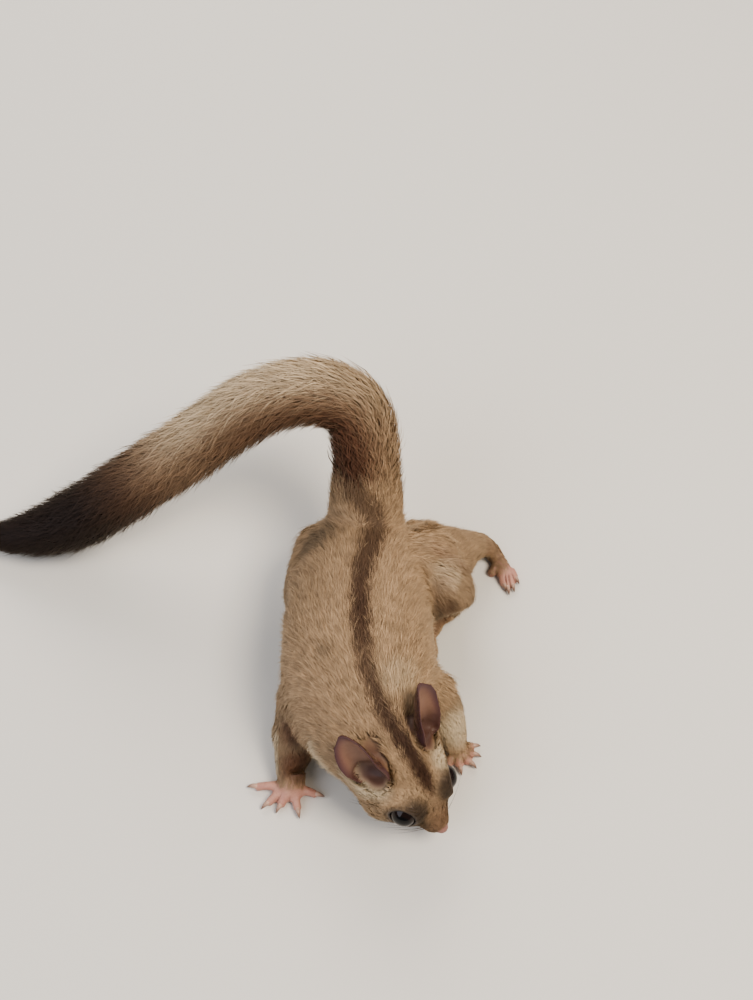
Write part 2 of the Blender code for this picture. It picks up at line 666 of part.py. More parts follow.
class TailLine:
    """The tail's centre line by arc length, with a frame that doesn't twist along it."""

    def __init__(self):
        self.spots = [Vector(p) for p in smooth_line(TAIL_LINE, 12)]
        self.ways = [
            (self.spots[min(i + 1, len(self.spots) - 1)] - self.spots[max(i - 1, 0)]).normalized()
            for i in range(len(self.spots))
        ]
        self.ups, up = [], Vector((0, 0, 1))
        for way in self.ways:
            up = (up - way * up.dot(way)).normalized()
            self.ups.append(up)
        self.reached = [0.0]
        for first, second in zip(self.spots, self.spots[1:]):
            self.reached.append(self.reached[-1] + (second - first).length)

    def frame(self, distance):
        """Point, direction and up at a distance; past the end the line runs on straight."""
        if distance >= self.reached[-1]:
            past = self.spots[-1] + self.ways[-1] * (distance - self.reached[-1])
            return past, self.ways[-1], self.ups[-1]
        i = next(k for k in range(1, len(self.reached)) if self.reached[k] > distance)
        t = (distance - self.reached[i - 1]) / (self.reached[i] - self.reached[i - 1])
        way = self.ways[i - 1].lerp(self.ways[i], t).normalized()
        up = self.ups[i - 1].lerp(self.ups[i], t)
        return self.spots[i - 1].lerp(self.spots[i], t), way, (up - way * up.dot(way)).normalized()

    def out(self, distance, angle, radius):
        """A point at a radius from the line, in the direction of an angle round it."""
        spot, way, up = self.frame(distance)
        return spot + (up * math.cos(angle) + way.cross(up) * math.sin(angle)) * radius


def core_radius(distance):
    """The tail's core: thick where it leaves the rump, then slim, and tapered at the tip."""
    thick = (TAIL_CORE_ROOT - TAIL_CORE) * math.exp(-(((distance - TAIL_FROM) / TAIL_FADE) ** 2))
    left = max(0.0, TAIL_TO - LOCK_LENGTH * 0.8 - distance)
    return (TAIL_CORE + thick) * min(1, math.sqrt(left / 16 + 0.03))


def coat_reach(distance):
    """How far the tips of the tail's coat stand from its centre line."""
    t = max(0.0, (distance - TAIL_TO + 44) / 44)
    return TAIL_REACH - (TAIL_REACH - TAIL_TIP_REACH) * min(1, t) ** 1.7


def lock(line, start, angle, draw, parts):
    """One flat tapered lock of the tail, rooted in the core and lying back along the tail."""
    length = LOCK_LENGTH * draw.uniform(0.9, 1.1)
    end = min(start + length, TAIL_TO + draw.uniform(-2, 1))
    root = core_radius(start) - 1.3
    tip = coat_reach(end) - draw.uniform(0, 0.9)
    sway = math.radians(draw.uniform(-13, 13))
    rings = []
    for t, width, thickness in LOCK_SHAPE:
        distance = start + (end - start) * t
        radius = root + (tip - root) * t**0.8
        turn = angle + sway * t * t
        half = width / 2 / max(radius, 3.5)
        ring = [
            line.out(distance, turn - half, radius - thickness * 0.2),
            line.out(distance, turn, radius + thickness * 0.55),
            line.out(distance, turn + half, radius - thickness * 0.2),
            line.out(distance, turn, radius - thickness * 0.45),
        ]
        rings.append([metres((p.x, p.y, max(p.z, -0.5))) for p in ring])
    loft("lock", rings, parts)


def tail_piece(name, first, last, line, work):
    """A length of the tail, with its core and its own rings of locks fused into one body."""
    draw = random.Random(SEED + round(first))
    parts = new_collection(name + " locks")
    count = max(1, round((last - first) / LOCK_RINGS))
    step = (last - first) / count
    for i in range(count):
        start = first + (i + 0.35) * step
        if start > TAIL_TO - LOCK_LENGTH * 0.9:
            continue
        for k in range(LOCKS_AROUND):
            angle = math.tau * (k + 0.5 * (round(start / step) % 2)) / LOCKS_AROUND
            lock(line, start, angle + math.radians(draw.uniform(-5, 5)), draw, parts)
    end = min(last, TAIL_TO - LOCK_LENGTH * 0.8)
    stops = [first + (end - first) * k / 7 for k in range(8)]
    rings = []
    for stop in stops:
        around = [math.tau * k / 10 for k in range(10)]
        rings.append([metres(line.out(stop, angle, core_radius(stop))) for angle in around])
    core = loft(name, rings, work)
    boolean(core, parts, "UNION")
    remove(*parts.objects)
    bpy.data.collections.remove(parts)
    return keep_largest(core)


def tail(work):
    """The bushy tail as four nodes, out to the tips of its coat and flat where it rests."""
    line = TailLine()
    nodes = []
    stops = (TAIL_FROM, *TAIL_CUTS, TAIL_TO)
    for name, first, last in zip(TAIL_NAMES, stops, stops[1:]):
        nodes.append(tail_piece(name, first + GAP / 2, last - GAP / 2, line, work))
    floor = block("floor", metres((-120, 48, 0)), Vector((0, 0, -1)), 20, 100, work)
    keep_largest(boolean(nodes[-1], floor, "DIFFERENCE"))
    remove(floor)
    return nodes


def finish(nodes, work):
    """Gives each node its material, moves the model to its origin and removes the helpers."""
    low = Vector([min(v.co[i] for node in nodes for v in node.data.vertices) for i in range(3)])
    high = Vector([max(v.co[i] for node in nodes for v in node.data.vertices) for i in range(3)])
    shift = Matrix.Translation((-(low.x + high.x) / 2, -(low.y + high.y) / 2, -low.z))
    for node in nodes:
        node.data.transform(shift)
        key = next((key for key in LOOKS if node.name.startswith(key)), "")
        name, colour, roughness = LOOKS[key]
        node.data.materials.clear()
        node.data.materials.append(material(f"{name} of {node.name}", colour, roughness))
        node.data.name = node.name
    for obj in list(bpy.data.objects):
        if obj not in nodes:
            remove(obj)
    return shift


def main():
    """Builds every node of the animal."""
    clear_scene()
    work = new_collection("sugar glider")
    whole = flesh(work)
    spot, way, _ = TailLine().frame(TAIL_FROM - GAP / 2)
    cutters = [block("cut", metres(spot), way, 40, 40, work)]
    for name, (point, direction) in JOINTS.items():
        cutters.append(block("cut " + name, metres(point), Vector(direction).normalized(), 9, 18, work))
    for cutter in cutters:
        boolean(whole, cutter, "DIFFERENCE")
        keep_largest(whole)
    remove(*cutters)
    flesh_grown = grown(whole, GAP, "flesh grown")
    nodes = [paw(name, work, flesh_grown) for name in JOINTS]

    nodes += tail(work)
    for name, side in SIDES.items():
        middle = on_head(EYE_PLACE[0], EYE_PLACE[1] * side, EYE_PLACE[2])
        turn = facing(head_way(EYE_AXIS, side))
        nodes.append(ellipsoid("eye_" + name, middle, [EYE_RADIUS] * 3, work, turn, 16, 9))
        for made in (ear("ear_" + name, side, work), membrane("gliding_membrane_" + name, side, work)):
            boolean(made, flesh_grown, "DIFFERENCE")
            nodes.append(keep_largest(made))

    for parting in PARTINGS:
        nodes.append(part_off(whole, *parting))
    whole.name = "torso"
    nodes.append(whole)
    head = bpy.data.objects["head"]
    face_details(head, work)
    pad = nose(work)
    room = [radius + GAP for radius in NOSE_PAD]
    pad_grown = ellipsoid("pad grown", on_head(*NOSE_PLACE), room, work, head_turn())
    keep_largest(boolean(head, pad_grown, "DIFFERENCE"))
    nodes.append(pad)
    return finish(nodes, work)


SHIFT = main().to_translation()
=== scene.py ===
"""Looks of a sugar glider at life size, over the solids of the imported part.

One skin stands for every node of flesh. Over it lies the coat, in tufts of mesh that follow the lie
of the fur, and the eyes, claws and whiskers are pieces of their own. The tables are millimetres in
the part's plan: +X is the animal's left, -Y is ahead of it and the floor is z = 0. Plan brings
them into the frame by the middle of the right eye's node.
"""

import logging
import math
from dataclasses import dataclass, field, fields
from enum import Enum

import bpy
import numpy as np
from mathutils import Matrix, Vector
from mathutils.bvhtree import BVHTree
from mathutils.kdtree import KDTree

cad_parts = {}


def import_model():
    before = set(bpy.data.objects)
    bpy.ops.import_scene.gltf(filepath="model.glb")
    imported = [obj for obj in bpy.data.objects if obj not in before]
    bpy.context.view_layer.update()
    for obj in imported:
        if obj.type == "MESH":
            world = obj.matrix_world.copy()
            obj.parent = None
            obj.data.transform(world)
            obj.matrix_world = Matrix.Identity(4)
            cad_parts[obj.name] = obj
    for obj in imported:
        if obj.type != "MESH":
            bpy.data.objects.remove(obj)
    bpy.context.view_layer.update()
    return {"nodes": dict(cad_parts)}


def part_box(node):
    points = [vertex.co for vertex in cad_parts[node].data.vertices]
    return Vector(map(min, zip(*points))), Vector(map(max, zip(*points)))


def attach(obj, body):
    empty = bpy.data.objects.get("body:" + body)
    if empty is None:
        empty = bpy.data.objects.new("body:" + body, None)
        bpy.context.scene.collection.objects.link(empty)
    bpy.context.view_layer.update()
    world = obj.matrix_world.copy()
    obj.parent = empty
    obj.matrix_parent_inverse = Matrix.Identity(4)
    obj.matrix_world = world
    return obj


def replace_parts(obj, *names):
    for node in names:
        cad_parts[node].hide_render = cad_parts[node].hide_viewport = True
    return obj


LOG = logging.getLogger("sugar_glider")
MM = 0.001
SEED = 11
BODY = "root"
BAKE_MAP = "OFBake"
TUFT_PATCH = 0.003  # of the side of the bake map, for one tuft
MOST_FACES = 196_000  # in one piece of the coat

# Head, as in the solids: where the nose is, which way the face points, how long the head is, and
# what sits on it, as millimetres behind the nose tip, out to one side, and up
NOSE_TIP = (26.6, -59.6, 10.0)
HEAD_YAW, HEAD_PITCH, HEAD_LENGTH = 44.0, 33.0, 34.0
EYE_PLACE = (15.6, 8.3, 4.2)
EYE_AXIS = (0.38, 0.84, 0.38)
EYE_RADIUS = 4.7
EAR_BASE = (31.5, 10.0, 8.2)
EAR_LEAN = {"right": (-0.90, 0.30, 0.32), "left": (-0.80, 0.26, 0.55)}
EAR_OPENING = {"right": (0.30, 0.80, 0.50), "left": (0.45, 0.45, 0.80)}
EAR_LENGTH, EAR_HALF_WIDTH = 20.0, 6.5
NOSTRIL_PLACE = (0.4, 1.1, 0.6)
NOSE_PAD = (0.5, 0.0, 0.2)
MOUTH_LINE = (
    (1.2, 0.0, -2.6), (2.6, 2.4, -3.2), (5.5, 4.6, -3.9), (8.5, 5.8, -4.3), (11.0, 6.8, -4.0),
)
# Dark smudges round each eye, with a radius and a strength
EYE_SMUDGES = (
    (EYE_PLACE[0] - 1.0, EYE_PLACE[1] - 1.0, EYE_PLACE[2] + 2.2, 6.9, 0.85),
    (EYE_PLACE[0] - 5.0, 6.8, 2.8, 4.4, 0.7), (EYE_PLACE[0] - 8.6, 5.0, 1.6, 3.4, 0.4),
)
SIDES = {"left": 1, "right": -1}

# Tail, as in the solids: its centre line, and the reach of its core and of its coat
TAIL_LINE = (
    (-3.6, 44.0, 35.0), (-3.8, 53.5, 46.5), (-4.8, 62.6, 58.0), (-8.6, 69.0, 66.4), (-16.5, 71.4, 71.2),
    (-27.0, 71.2, 72.4), (-38.0, 69.6, 70.0), (-49.0, 66.6, 64.6), (-61.0, 62.2, 56.2),
    (-73.5, 58.3, 47.2), (-86.0, 55.0, 37.8), (-98.0, 52.0, 28.6), (-110.0, 49.5, 20.0),
    (-122.0, 48.0, 13.4), (-134.0, 47.0, 9.8), (-143.0, 46.6, 8.4),
)
TAIL_FROM, TAIL_TO = 14.5, 205.0  # along the line, where the tail leaves the rump and where it ends
TAIL_CORE, TAIL_CORE_ROOT, TAIL_FADE = 6.0, 12.2, 18.0
TAIL_REACH, TAIL_TIP_REACH = 11.9, 3.4
TAIL_POINT = 44.0  # length over which the coat narrows to its end
TAIL_CORE_STOP = 20.0  # how far before the coat's end the core stops
TAIL_ARCH = (-36.0, 42.0, 32.0)  # what the tail bends round, on its dark side

# Digits, as in the solids: root and end of each on the floor plan
DIGITS = {
    "forepaw_right": (
        (-29.2, -43.8, -37.4, -44.0), (-28.2, -45.9, -32.6, -49.9), (-26.0, -46.6, -28.2, -50.6),
        (-23.4, -46.6, -22.0, -51.8), (-21.0, -44.8, -15.8, -45.9),
    ),
    "forepaw_left": (
        (33.6, -27.0, 37.4, -26.2), (33.8, -28.4, 37.6, -29.2), (33.2, -29.8, 36.4, -32.4),
        (31.8, -30.8, 32.6, -34.2), (29.6, -30.8, 28.2, -34.0),
    ),
    "hindfoot_left": (
        (48.8, 43.6, 49.7, 39.2), (50.0, 43.2, 51.0, 37.8), (51.2, 43.4, 52.7, 39.0),
        (52.2, 44.8, 54.0, 42.2), (47.2, 47.2, 44.2, 43.2),
    ),
    "hindfoot_right": (
        (-20.8, 29.0, -19.4, 23.4), (-22.0, 28.4, -21.4, 21.6), (-23.6, 28.6, -23.8, 21.8),
        (-25.0, 29.6, -26.4, 24.2), (-19.6, 34.0, -15.2, 30.8),
    ),
}
WRISTS = {
    "forepaw_right": (-24.8, -40.0, 6.4), "forepaw_left": (29.9, -25.2, 6.8),
    "hindfoot_left": (39.4, 52.1, 8.5), "hindfoot_right": (-20.8, 39.4, 9.2),
}
FUR_ENDS = {"forepaw_right": 7.0, "forepaw_left": 9.5, "hindfoot_left": 16.0, "hindfoot_right": 15.0}
# Middle line of a claw from the digit's end: ahead, up and the claw's radius
CLAW = ((-0.9, 1.8, 0.95), (0.4, 2.1, 0.82), (1.5, 1.75, 0.55), (2.5, 0.85, 0.12))

# Free edge of the gliding membrane, from the wrist to the ankle
MEMBRANE_EDGES = {
    "right": ((-31.2, -37.5, 7.5), (-32.0, -30, 9.5), (-31.4, -20, 11.0), (-30.6, -6, 11.0),
              (-30.8, 7, 11.0), (-30.0, 18, 10.0), (-29.6, 28, 8.6), (-27.4, 35, 8.2)),
    "left": ((33.4, -22.0, 8.5), (32.6, -16, 10.0), (28.0, -9, 11.0), (24.4, -1, 11.0),
             (23.6, 8, 11.0), (25.0, 14.5, 10.0), (31.0, 22, 8.4), (34.6, 36, 7.4), (37.6, 44.0, 7.8)),
}

# Markings: the dark stripe with its half width and strength at each point, and round patches with
# a radius and a strength
STRIPE = (
    (-10.4, 50.5, 61.5, 5.0, 0.0), (-9.8, 46.0, 56.0, 4.4, 0.35), (-7.8, 41.2, 50.5, 3.3, 0.6),
    (-3.2, 37.6, 48.5, 2.8, 0.7), (0.0, 32.0, 46.0, 2.9, 0.78), (-1.0, 24.5, 46.7, 2.9, 0.84),
    (-3.6, 13.0, 47.6, 2.6, 0.88), (-3.7, 0.0, 48.4, 2.4, 0.94), (-2.4, -11.0, 48.0, 2.1, 0.94),
    (0.1, -22.0, 46.4, 1.9, 0.82), (3.8, -31.1, 43.5, 1.9, 0.86), (10.4, -40.6, 40.4, 2.0, 0.97),
    (16.2, -47.0, 35.5, 2.0, 1.0), (20.4, -51.6, 29.2, 1.6, 1.0), (22.0, -53.4, 26.0, 0.6, 0.8),
)
GREY_PATCHES = (
    (-17.5, 30.0, 41.5, 8.5, 1.0), (-13.0, -17.5, 46.0, 3.2, 0.6), (22.0, 15.5, 27.5, 6.0, 0.8),
)
BROWN_PATCHES = (
    (-23.5, -31.0, 23.0, 7.5, 0.8), (20.6, -33.9, 34.0, 4.5, 0.5), (-22.5, -39.0, 12.0, 7.5, 0.9),
    (17.2, 26.0, 34.0, 3.0, 0.4), (24.0, 33.0, 27.0, 3.0, 0.35), (46.0, 50.0, 6.0, 9.0, 0.35),
)
PALE_PATCHES = (
    (2.4, -54.9, 32.0, 7.5, 1.0), (-1.5, -52.0, 33.5, 6.5, 0.9), (24.5, -42.0, 30.0, 5.5, 0.8),
    (22.0, 26.0, 33.0, 7.0, 0.4), (10.0, -25.0, 42.0, 7.0, 0.3), (29.0, -23.0, 13.0, 9.0, 0.9),
)
# Creases of the left thigh and flank, and how deep they are pressed in; they are also browned with painted
# shade
CREASES = (
    ((18.3, 31.7, 38.3), (21.6, 30.6, 36.9), (24.8, 30.1, 35.4), (29.4, 31.0, 31.6), (33.0, 35.0, 24.0)),
    ((20.1, 21.7, 34.1), (21.3, 18.5, 31.4), (23.6, 16.9, 28.7), (25.9, 15.1, 26.4), (27.5, 14.0, 23.4)),
)
CREASE_DEPTH = 1.1
HIP, HIP_REACH = (15.5, 40.0, 37.0), 9.5  # where the back turns down to the left thigh
FOREARM_FRINGE = ((-29.5, -29.0, 16.0), (-30.5, -34.0, 12.0), (-30.0, -40.0, 8.0))

# Lie of the coat: lines along which it runs, from the first point to the last
LIES = (
    ((26.6, -59.6, 12), (19, -50, 24), (10, -40, 28), (5.4, -33, 27), (1.4, -24, 26), (-3, -12, 26),
     (-4.2, 0, 26), (-4.4, 12, 26), (-4.5, 24, 27), (-4.2, 36, 29), (-3.8, 46, 36), (-3.8, 54, 47),
     (-4.8, 62.6, 58), (-8.6, 69, 66.4)),
    ((-19, -18, 20), (-23.3, -25.5, 14.5), (-24.4, -33, 10), (-24.8, -40.5, 6.2), (-24.9, -45, 2)),
    ((17, -14, 20), (24.0, -16.5, 14.5), (27.5, -21, 10), (30.2, -26.0, 6.2), (31.8, -30, 2)),
    ((10, 34, 27), (17.5, 30, 23.5), (24.6, 24, 19.0), (28, 20, 15)),
    ((22, 24, 14), (26.0, 34, 14.0), (33, 46.6, 11.8), (39.4, 51.8, 8.4), (45, 52, 4), (50, 45, 2)),
    ((-12, 36, 28), (-17, 30, 25), (-21, 22, 20)),
    ((-20.5, 20, 15), (-20.5, 29, 14.2), (-20.7, 39, 9.4), (-21.4, 43.5, 4), (-22.4, 34, 2)),
    ((-14, -22, 12), (-14, -5, 7), (-14, 12, 8), (-12, 30, 10)),
    ((12, -22, 12), (10, -5, 7), (10, 12, 8), (6, 30, 10)),
)


def linear(code: str) -> tuple[float, float, float, float]:
    """Turns an sRGB hex colour to Blender's linear RGBA.

    Args:
        code: six hex digits after a hash.

    Returns:
        Red, green, blue and an alpha of 1.
    """
    parts = [int(code[i:i + 2], 16) / 255 for i in (1, 3, 5)]
    values = [p / 12.92 if p <= 0.04045 else ((p + 0.055) / 1.055) ** 2.4 for p in parts]
    return (*values, 1.0)


def node(tree: bpy.types.NodeTree, kind: str, inputs: dict | None = None, **settings) -> bpy.types.Node:
    """Adds a node to a tree.

    Args:
        tree: the tree of a material.
        kind: Blender's name of the node's type.
        inputs: a value, or an output socket to link, for each input socket by name or number.
        settings: the node's own properties.

    Returns:
        The new node.
    """
    made = tree.nodes.new(kind)
    for name, value in settings.items():
        setattr(made, name, value)
    for key, value in (inputs or {}).items():
        if isinstance(value, bpy.types.NodeSocket):
            tree.links.new(value, made.inputs[key])
        else:
            made.inputs[key].default_value = value
    return made


def blank(name: str, inputs: dict) -> tuple[bpy.types.Material, bpy.types.NodeTree, bpy.types.Node]:
    """Makes a material whose tree holds only a Principled shader and its output.

    Args:
        name: the material's name.
        inputs: what is the same all over the surface, by the name of the shader's input.

    Returns:
        The material, its tree and the shader.
    """
    made = bpy.data.materials.new(name)
    made.use_nodes = True
    tree = made.node_tree
    tree.nodes.clear()
    shader = node(tree, "ShaderNodeBsdfPrincipled", inputs)
    node(tree, "ShaderNodeOutputMaterial", {"Surface": shader.outputs["BSDF"]})
    return made, tree, shader


def unit(rows: np.ndarray) -> np.ndarray:
    """Scales each row to a length of 1."""
    return rows / np.maximum(np.linalg.norm(rows, axis=1, keepdims=True), 1e-9)


def dot(first: np.ndarray, second: np.ndarray) -> np.ndarray:
    """Dot product of each pair of rows."""
    return np.einsum("ij,ij->i", first, second)


def ease(low: float, high: float, value: np.ndarray) -> np.ndarray:
    """Rises smoothly from 0 where the value is low to 1 where it is high, which may be the smaller."""
    t = np.clip((value - low) / (high - low), 0, 1)
    return t * t * (3 - 2 * t)


def flat(rows: np.ndarray, normals: np.ndarray) -> np.ndarray:
    """The part of each row that lies in the surface, as a unit vector."""
    return unit(rows - normals * dot(rows, normals)[:, None])


def gap_to(points: np.ndarray, place: np.ndarray | tuple[float, float, float]) -> np.ndarray:
    """How far each point is from a place."""
    return np.linalg.norm(points - np.array(place), axis=1)


def finder(points: np.ndarray) -> KDTree:
    """Sorts points into a tree, in which the nearest of them is soon found.

    Args:
        points: rows of x, y and z.

    Returns:
        The tree, which names each point by its number.
    """
    made = KDTree(len(points))
    for i, place in enumerate(points.tolist()):
        made.insert(place, i)
    made.balance()
    return made


def nearest(tree: KDTree, places: np.ndarray) -> np.ndarray:
    """The number of the tree's point that is nearest to each place."""
    return np.array([tree.find(place)[1] for place in places.tolist()])


def smooth_rows(rows: tuple, steps: int) -> np.ndarray:
    """Rows of numbers on a Catmull-Rom curve.

    Args:
        rows: the rows that the curve passes through.
        steps: how many rows are made for each stretch.

    Returns:
        An array of rows, from the first given to the last.
    """
    spots = np.array(rows, float)
    spots = np.vstack([2 * spots[0] - spots[1], spots, 2 * spots[-1] - spots[-2]])
    t = (np.arange(steps) / steps)[:, None]
    found = [
        0.5 * (2 * b + (c - a) * t + (2 * a - 5 * b + 4 * c - d) * t**2 + (3 * b - a - 3 * c + d) * t**3)
        for a, b, c, d in zip(spots, spots[1:], spots[2:], spots[3:])
    ]
    return np.vstack([*found, spots[-2:-1]])


def near_line(points: np.ndarray, line: np.ndarray, limit: float = 14.0) -> tuple[np.ndarray, np.ndarray]:
    """Finds each point's nearest place on a line of straight stretches.

    Args:
        points: rows of x, y and z.
        line: rows of x, y and z, and of any more values that go along.
        limit: how far from the line's box points are still looked at; the rest get this distance.

    Returns:
        The distance to the line, and the line's row of values at the nearest place.
    """
    low, high = line[:, :3].min(axis=0) - limit, line[:, :3].max(axis=0) + limit
    near = ((points > low) & (points < high)).all(axis=1)
    own = points[near]
    best = np.full(len(own), np.inf)
    row = np.zeros((len(own), line.shape[1]))
    for first, second in zip(line, line[1:]):
        way = (second - first)[:3]
        t = np.clip((own - first[:3]) @ way / (way @ way), 0, 1)
        away = own - first[:3] - t[:, None] * way
        gap = np.einsum("ij,ij->i", away, away)
        closer = gap < best
        best[closer] = gap[closer]
        row[closer] = first + t[closer, None] * (second - first)
    gaps = np.full(len(points), limit)
    rows = np.repeat(line[:1], len(points), axis=0)
    gaps[near], rows[near] = np.sqrt(best), row
    return gaps, rows


@dataclass(frozen=True)
class Plan:
    """The part's plan in millimetres, and where it lies in the frame."""

    origin: np.ndarray

    @classmethod
    def from_eye(cls, head: "Head") -> "Plan":
        """Finds the plan's place from the node of the right eye.

        Args:
            head: the head, which knows where that eye is in the plan.

        Returns:
            The plan.
        """
        low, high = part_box("eye_right")
        return cls(np.array((low + high) / 2) - head.at(EYE_PLACE[0], -EYE_PLACE[1], EYE_PLACE[2]) * MM)

    def metres(self, points: np.ndarray) -> np.ndarray:
        """Plan millimetres to the frame's metres."""
        return np.asarray(points, float) * MM + self.origin

    def millimetres(self, points: np.ndarray) -> np.ndarray:
        """The frame's metres to plan millimetres."""
        return (np.asarray(points, float) - self.origin) / MM


@dataclass(frozen=True)
class Head:
    """The head's own axes: forward, to its left and up."""

    yaw: float = HEAD_YAW
    pitch: float = HEAD_PITCH

    @property
    def axes(self) -> np.ndarray:
        """The head's own axes.

        Returns:
            Rows of forward, left and up in the plan.
        """
        yaw, pitch = math.radians(self.yaw), math.radians(self.pitch)
        level = np.array([math.sin(yaw), -math.cos(yaw), 0.0])
        forward = level * math.cos(pitch) - np.array([0, 0, math.sin(pitch)])
        left = np.cross([0, 0, 1], level)
        return np.array([forward, left, np.cross(forward, left)])

    def at(self, back: float, side: float, up: float) -> np.ndarray:
        """A place behind the nose tip, to the head's left and up, in the plan."""
        return np.array(NOSE_TIP) + np.array([-back, side, up]) @ self.axes

    def way(self, direction: tuple[float, float, float], side: int) -> np.ndarray:
        """A unit direction from forward, outward on one side and up."""
        forward, out, up = direction
        return unit(np.array([[forward, out * side, up]]) @ self.axes)[0]

    def local(self, points: np.ndarray) -> np.ndarray:
        """Rows of back, side and up for rows of the plan."""
        return (points - np.array(NOSE_TIP)) @ self.axes.T * np.array([-1, 1, 1])

    def on_ear(self, points: np.ndarray, name: str) -> tuple[np.ndarray, np.ndarray, np.ndarray]:
        """Finds where places are on an ear.

        Args:
            points: rows of x, y and z.
            name: the ear's side.

        Returns:
            How far each is up the ear from 0 to 1, across it from -1 to 1, and ahead of it in mm.
        """
        side = SIDES[name]
        lean, opening = self.way(EAR_LEAN[name], side), self.way(EAR_OPENING[name], side)
        across = np.cross(opening, lean)
        across = across / np.linalg.norm(across)
        away = points - self.at(EAR_BASE[0], EAR_BASE[1] * side, EAR_BASE[2])
        return away @ lean / EAR_LENGTH, away @ across / EAR_HALF_WIDTH, away @ opening

    def in_bowl(self, points: np.ndarray, name: str) -> np.ndarray:
        """How far places are in the hollow at the foot of an ear, from 0 to 1."""
        up, out, ahead = self.on_ear(points, name)
        return ease(1.0, 0.5, np.hypot((up - 0.14) / 0.40, out)) * ease(9, 6, np.abs(ahead))

    def eye(self, side: int) -> np.ndarray:
        """The middle of one eye."""
        return self.at(EYE_PLACE[0], EYE_PLACE[1] * side, EYE_PLACE[2])

    def eye_gap(self, points: np.ndarray) -> np.ndarray:
        """How far places are from the middle of the nearer eye."""
        return np.minimum(*[gap_to(points, self.eye(side)) for side in SIDES.values()])

    @staticmethod
    def lip_gap(local: np.ndarray) -> np.ndarray:
        """How far places, given in the head's axes, are from the line of the mouth."""
        line = smooth_rows(MOUTH_LINE, 3)
        return np.minimum(*[near_line(local, line * np.array([1, side, 1]))[0] for side in SIDES.values()])


class Tail:
    """The tail's centre line by its length, with axes round it that don't twist."""

    def __init__(self) -> None:
        """Works out the line and its axes, and runs it on past the tip."""
        self.spots = smooth_rows(TAIL_LINE, 6)
        last = self.spots[-1] - self.spots[-2]
        past_tip = 40.0
        self.spots = np.vstack([self.spots, self.spots[-1] + unit(last[None])[0] * past_tip])
        self.ways = unit(np.gradient(self.spots, axis=0))
        up, ups = np.array([0.0, 0.0, 1.0]), []
        for way in self.ways:
            up = up - way * (up @ way)
            up = up / np.linalg.norm(up)
            ups.append(up)
        self.ups = np.array(ups)
        steps = np.linalg.norm(np.diff(self.spots, axis=0), axis=1)
        self.reached = np.concatenate([[0], np.cumsum(steps)])

    def frame(self, distance: np.ndarray) -> tuple[np.ndarray, np.ndarray, np.ndarray, np.ndarray]:
        """Finds the line and its axes at distances along it.

        Args:
            distance: millimetres along the line.

        Returns:
            Rows of the point, the direction, up and the side.
        """
        rows = [
            np.stack([np.interp(distance, self.reached, values[:, i]) for i in range(3)], axis=1)
            for values in (self.spots, self.ways, self.ups)
        ]
        way = unit(rows[1])
        up = flat(rows[2], way)
        return rows[0], way, up, np.cross(way, up)

    def out(self, distance: np.ndarray, angle: np.ndarray, radius: np.ndarray) -> np.ndarray:
        """Finds points round the line.

        Args:
            distance: how far along the line each is.
            angle: its direction round the line.
            radius: how far out it is.

        Returns:
            Rows of x, y and z.
        """
        spot, _, up, side = self.frame(distance)
        ring = up * np.cos(angle)[:, None] + side * np.sin(angle)[:, None]
        return spot + ring * np.asarray(radius)[:, None]

    def place(self, points: np.ndarray) -> tuple[np.ndarray, np.ndarray, np.ndarray]:
        """Finds where points near the tail are on it.

        Args:
            points: rows of x, y and z.

        Returns:
            The distance along the line, the angle round it and the distance from it.
        """
        gap, row = near_line(points, np.column_stack([self.spots, self.reached]), 30.0)
        spot, _, up, side = self.frame(row[:, 3])
        away = points - spot
        return row[:, 3], np.arctan2(dot(away, side), dot(away, up)), gap

    @staticmethod
    def core(distance: np.ndarray) -> np.ndarray:
        """Radius of the solids' core, thick at the rump and rounded at its end.

        Args:
            distance: millimetres along the line.

        Returns:
            The radius at each.
        """
        thick = (TAIL_CORE_ROOT - TAIL_CORE) * np.exp(
            -(np.maximum(distance - TAIL_FROM, 0) / TAIL_FADE) ** 2)
        left = np.clip(TAIL_TO - TAIL_CORE_STOP - distance, 0, None)
        return (TAIL_CORE + thick) * np.minimum(1, np.sqrt(left / 16 + 0.03))

    @staticmethod
    def reach(distance: np.ndarray) -> np.ndarray:
        """How far the tips of the coat stand from the line."""
        t = np.clip((distance - TAIL_TO + TAIL_POINT) / TAIL_POINT, 0, 1)
        return TAIL_REACH - (TAIL_REACH - TAIL_TIP_REACH) * t**1.7

    def skin(self, distance: np.ndarray) -> np.ndarray:
        """Radius of the skin, inside the core by the depth of the short fur at the rump."""
        sunk = 1.0 + 2.2 * ease(40, TAIL_FROM, distance)
        return np.maximum(self.core(distance) - sunk, 0.9)


class Region(Enum):
    """Kinds of surface, by the start of the names of the nodes that they stand for."""

    TORSO = "torso"
    NECK = "neck"
    HEAD = "head"
    FORELEG = "foreleg"
    HINDLEG = "hindleg"
    MEMBRANE = "gliding_membrane"
    FOREPAW = "forepaw"
    HINDFOOT = "hindfoot"
    EAR = "ear"
    NOSE = "nose"
    TAIL = "tail"

    @classmethod
    def of(cls, name: str) -> "Region":
        """The region of a node by its name."""
        return next(region for region in cls if name.startswith(region.value))

    @property
    def number(self) -> int:
        """The number that stands for the region in arrays."""
        return list(Region).index(self)


@dataclass(frozen=True)
class Growth:
    """How the coat grows in one region, in millimetres and tufts per square millimetre."""

    depth: float
    length: float
    width: float
    density: float


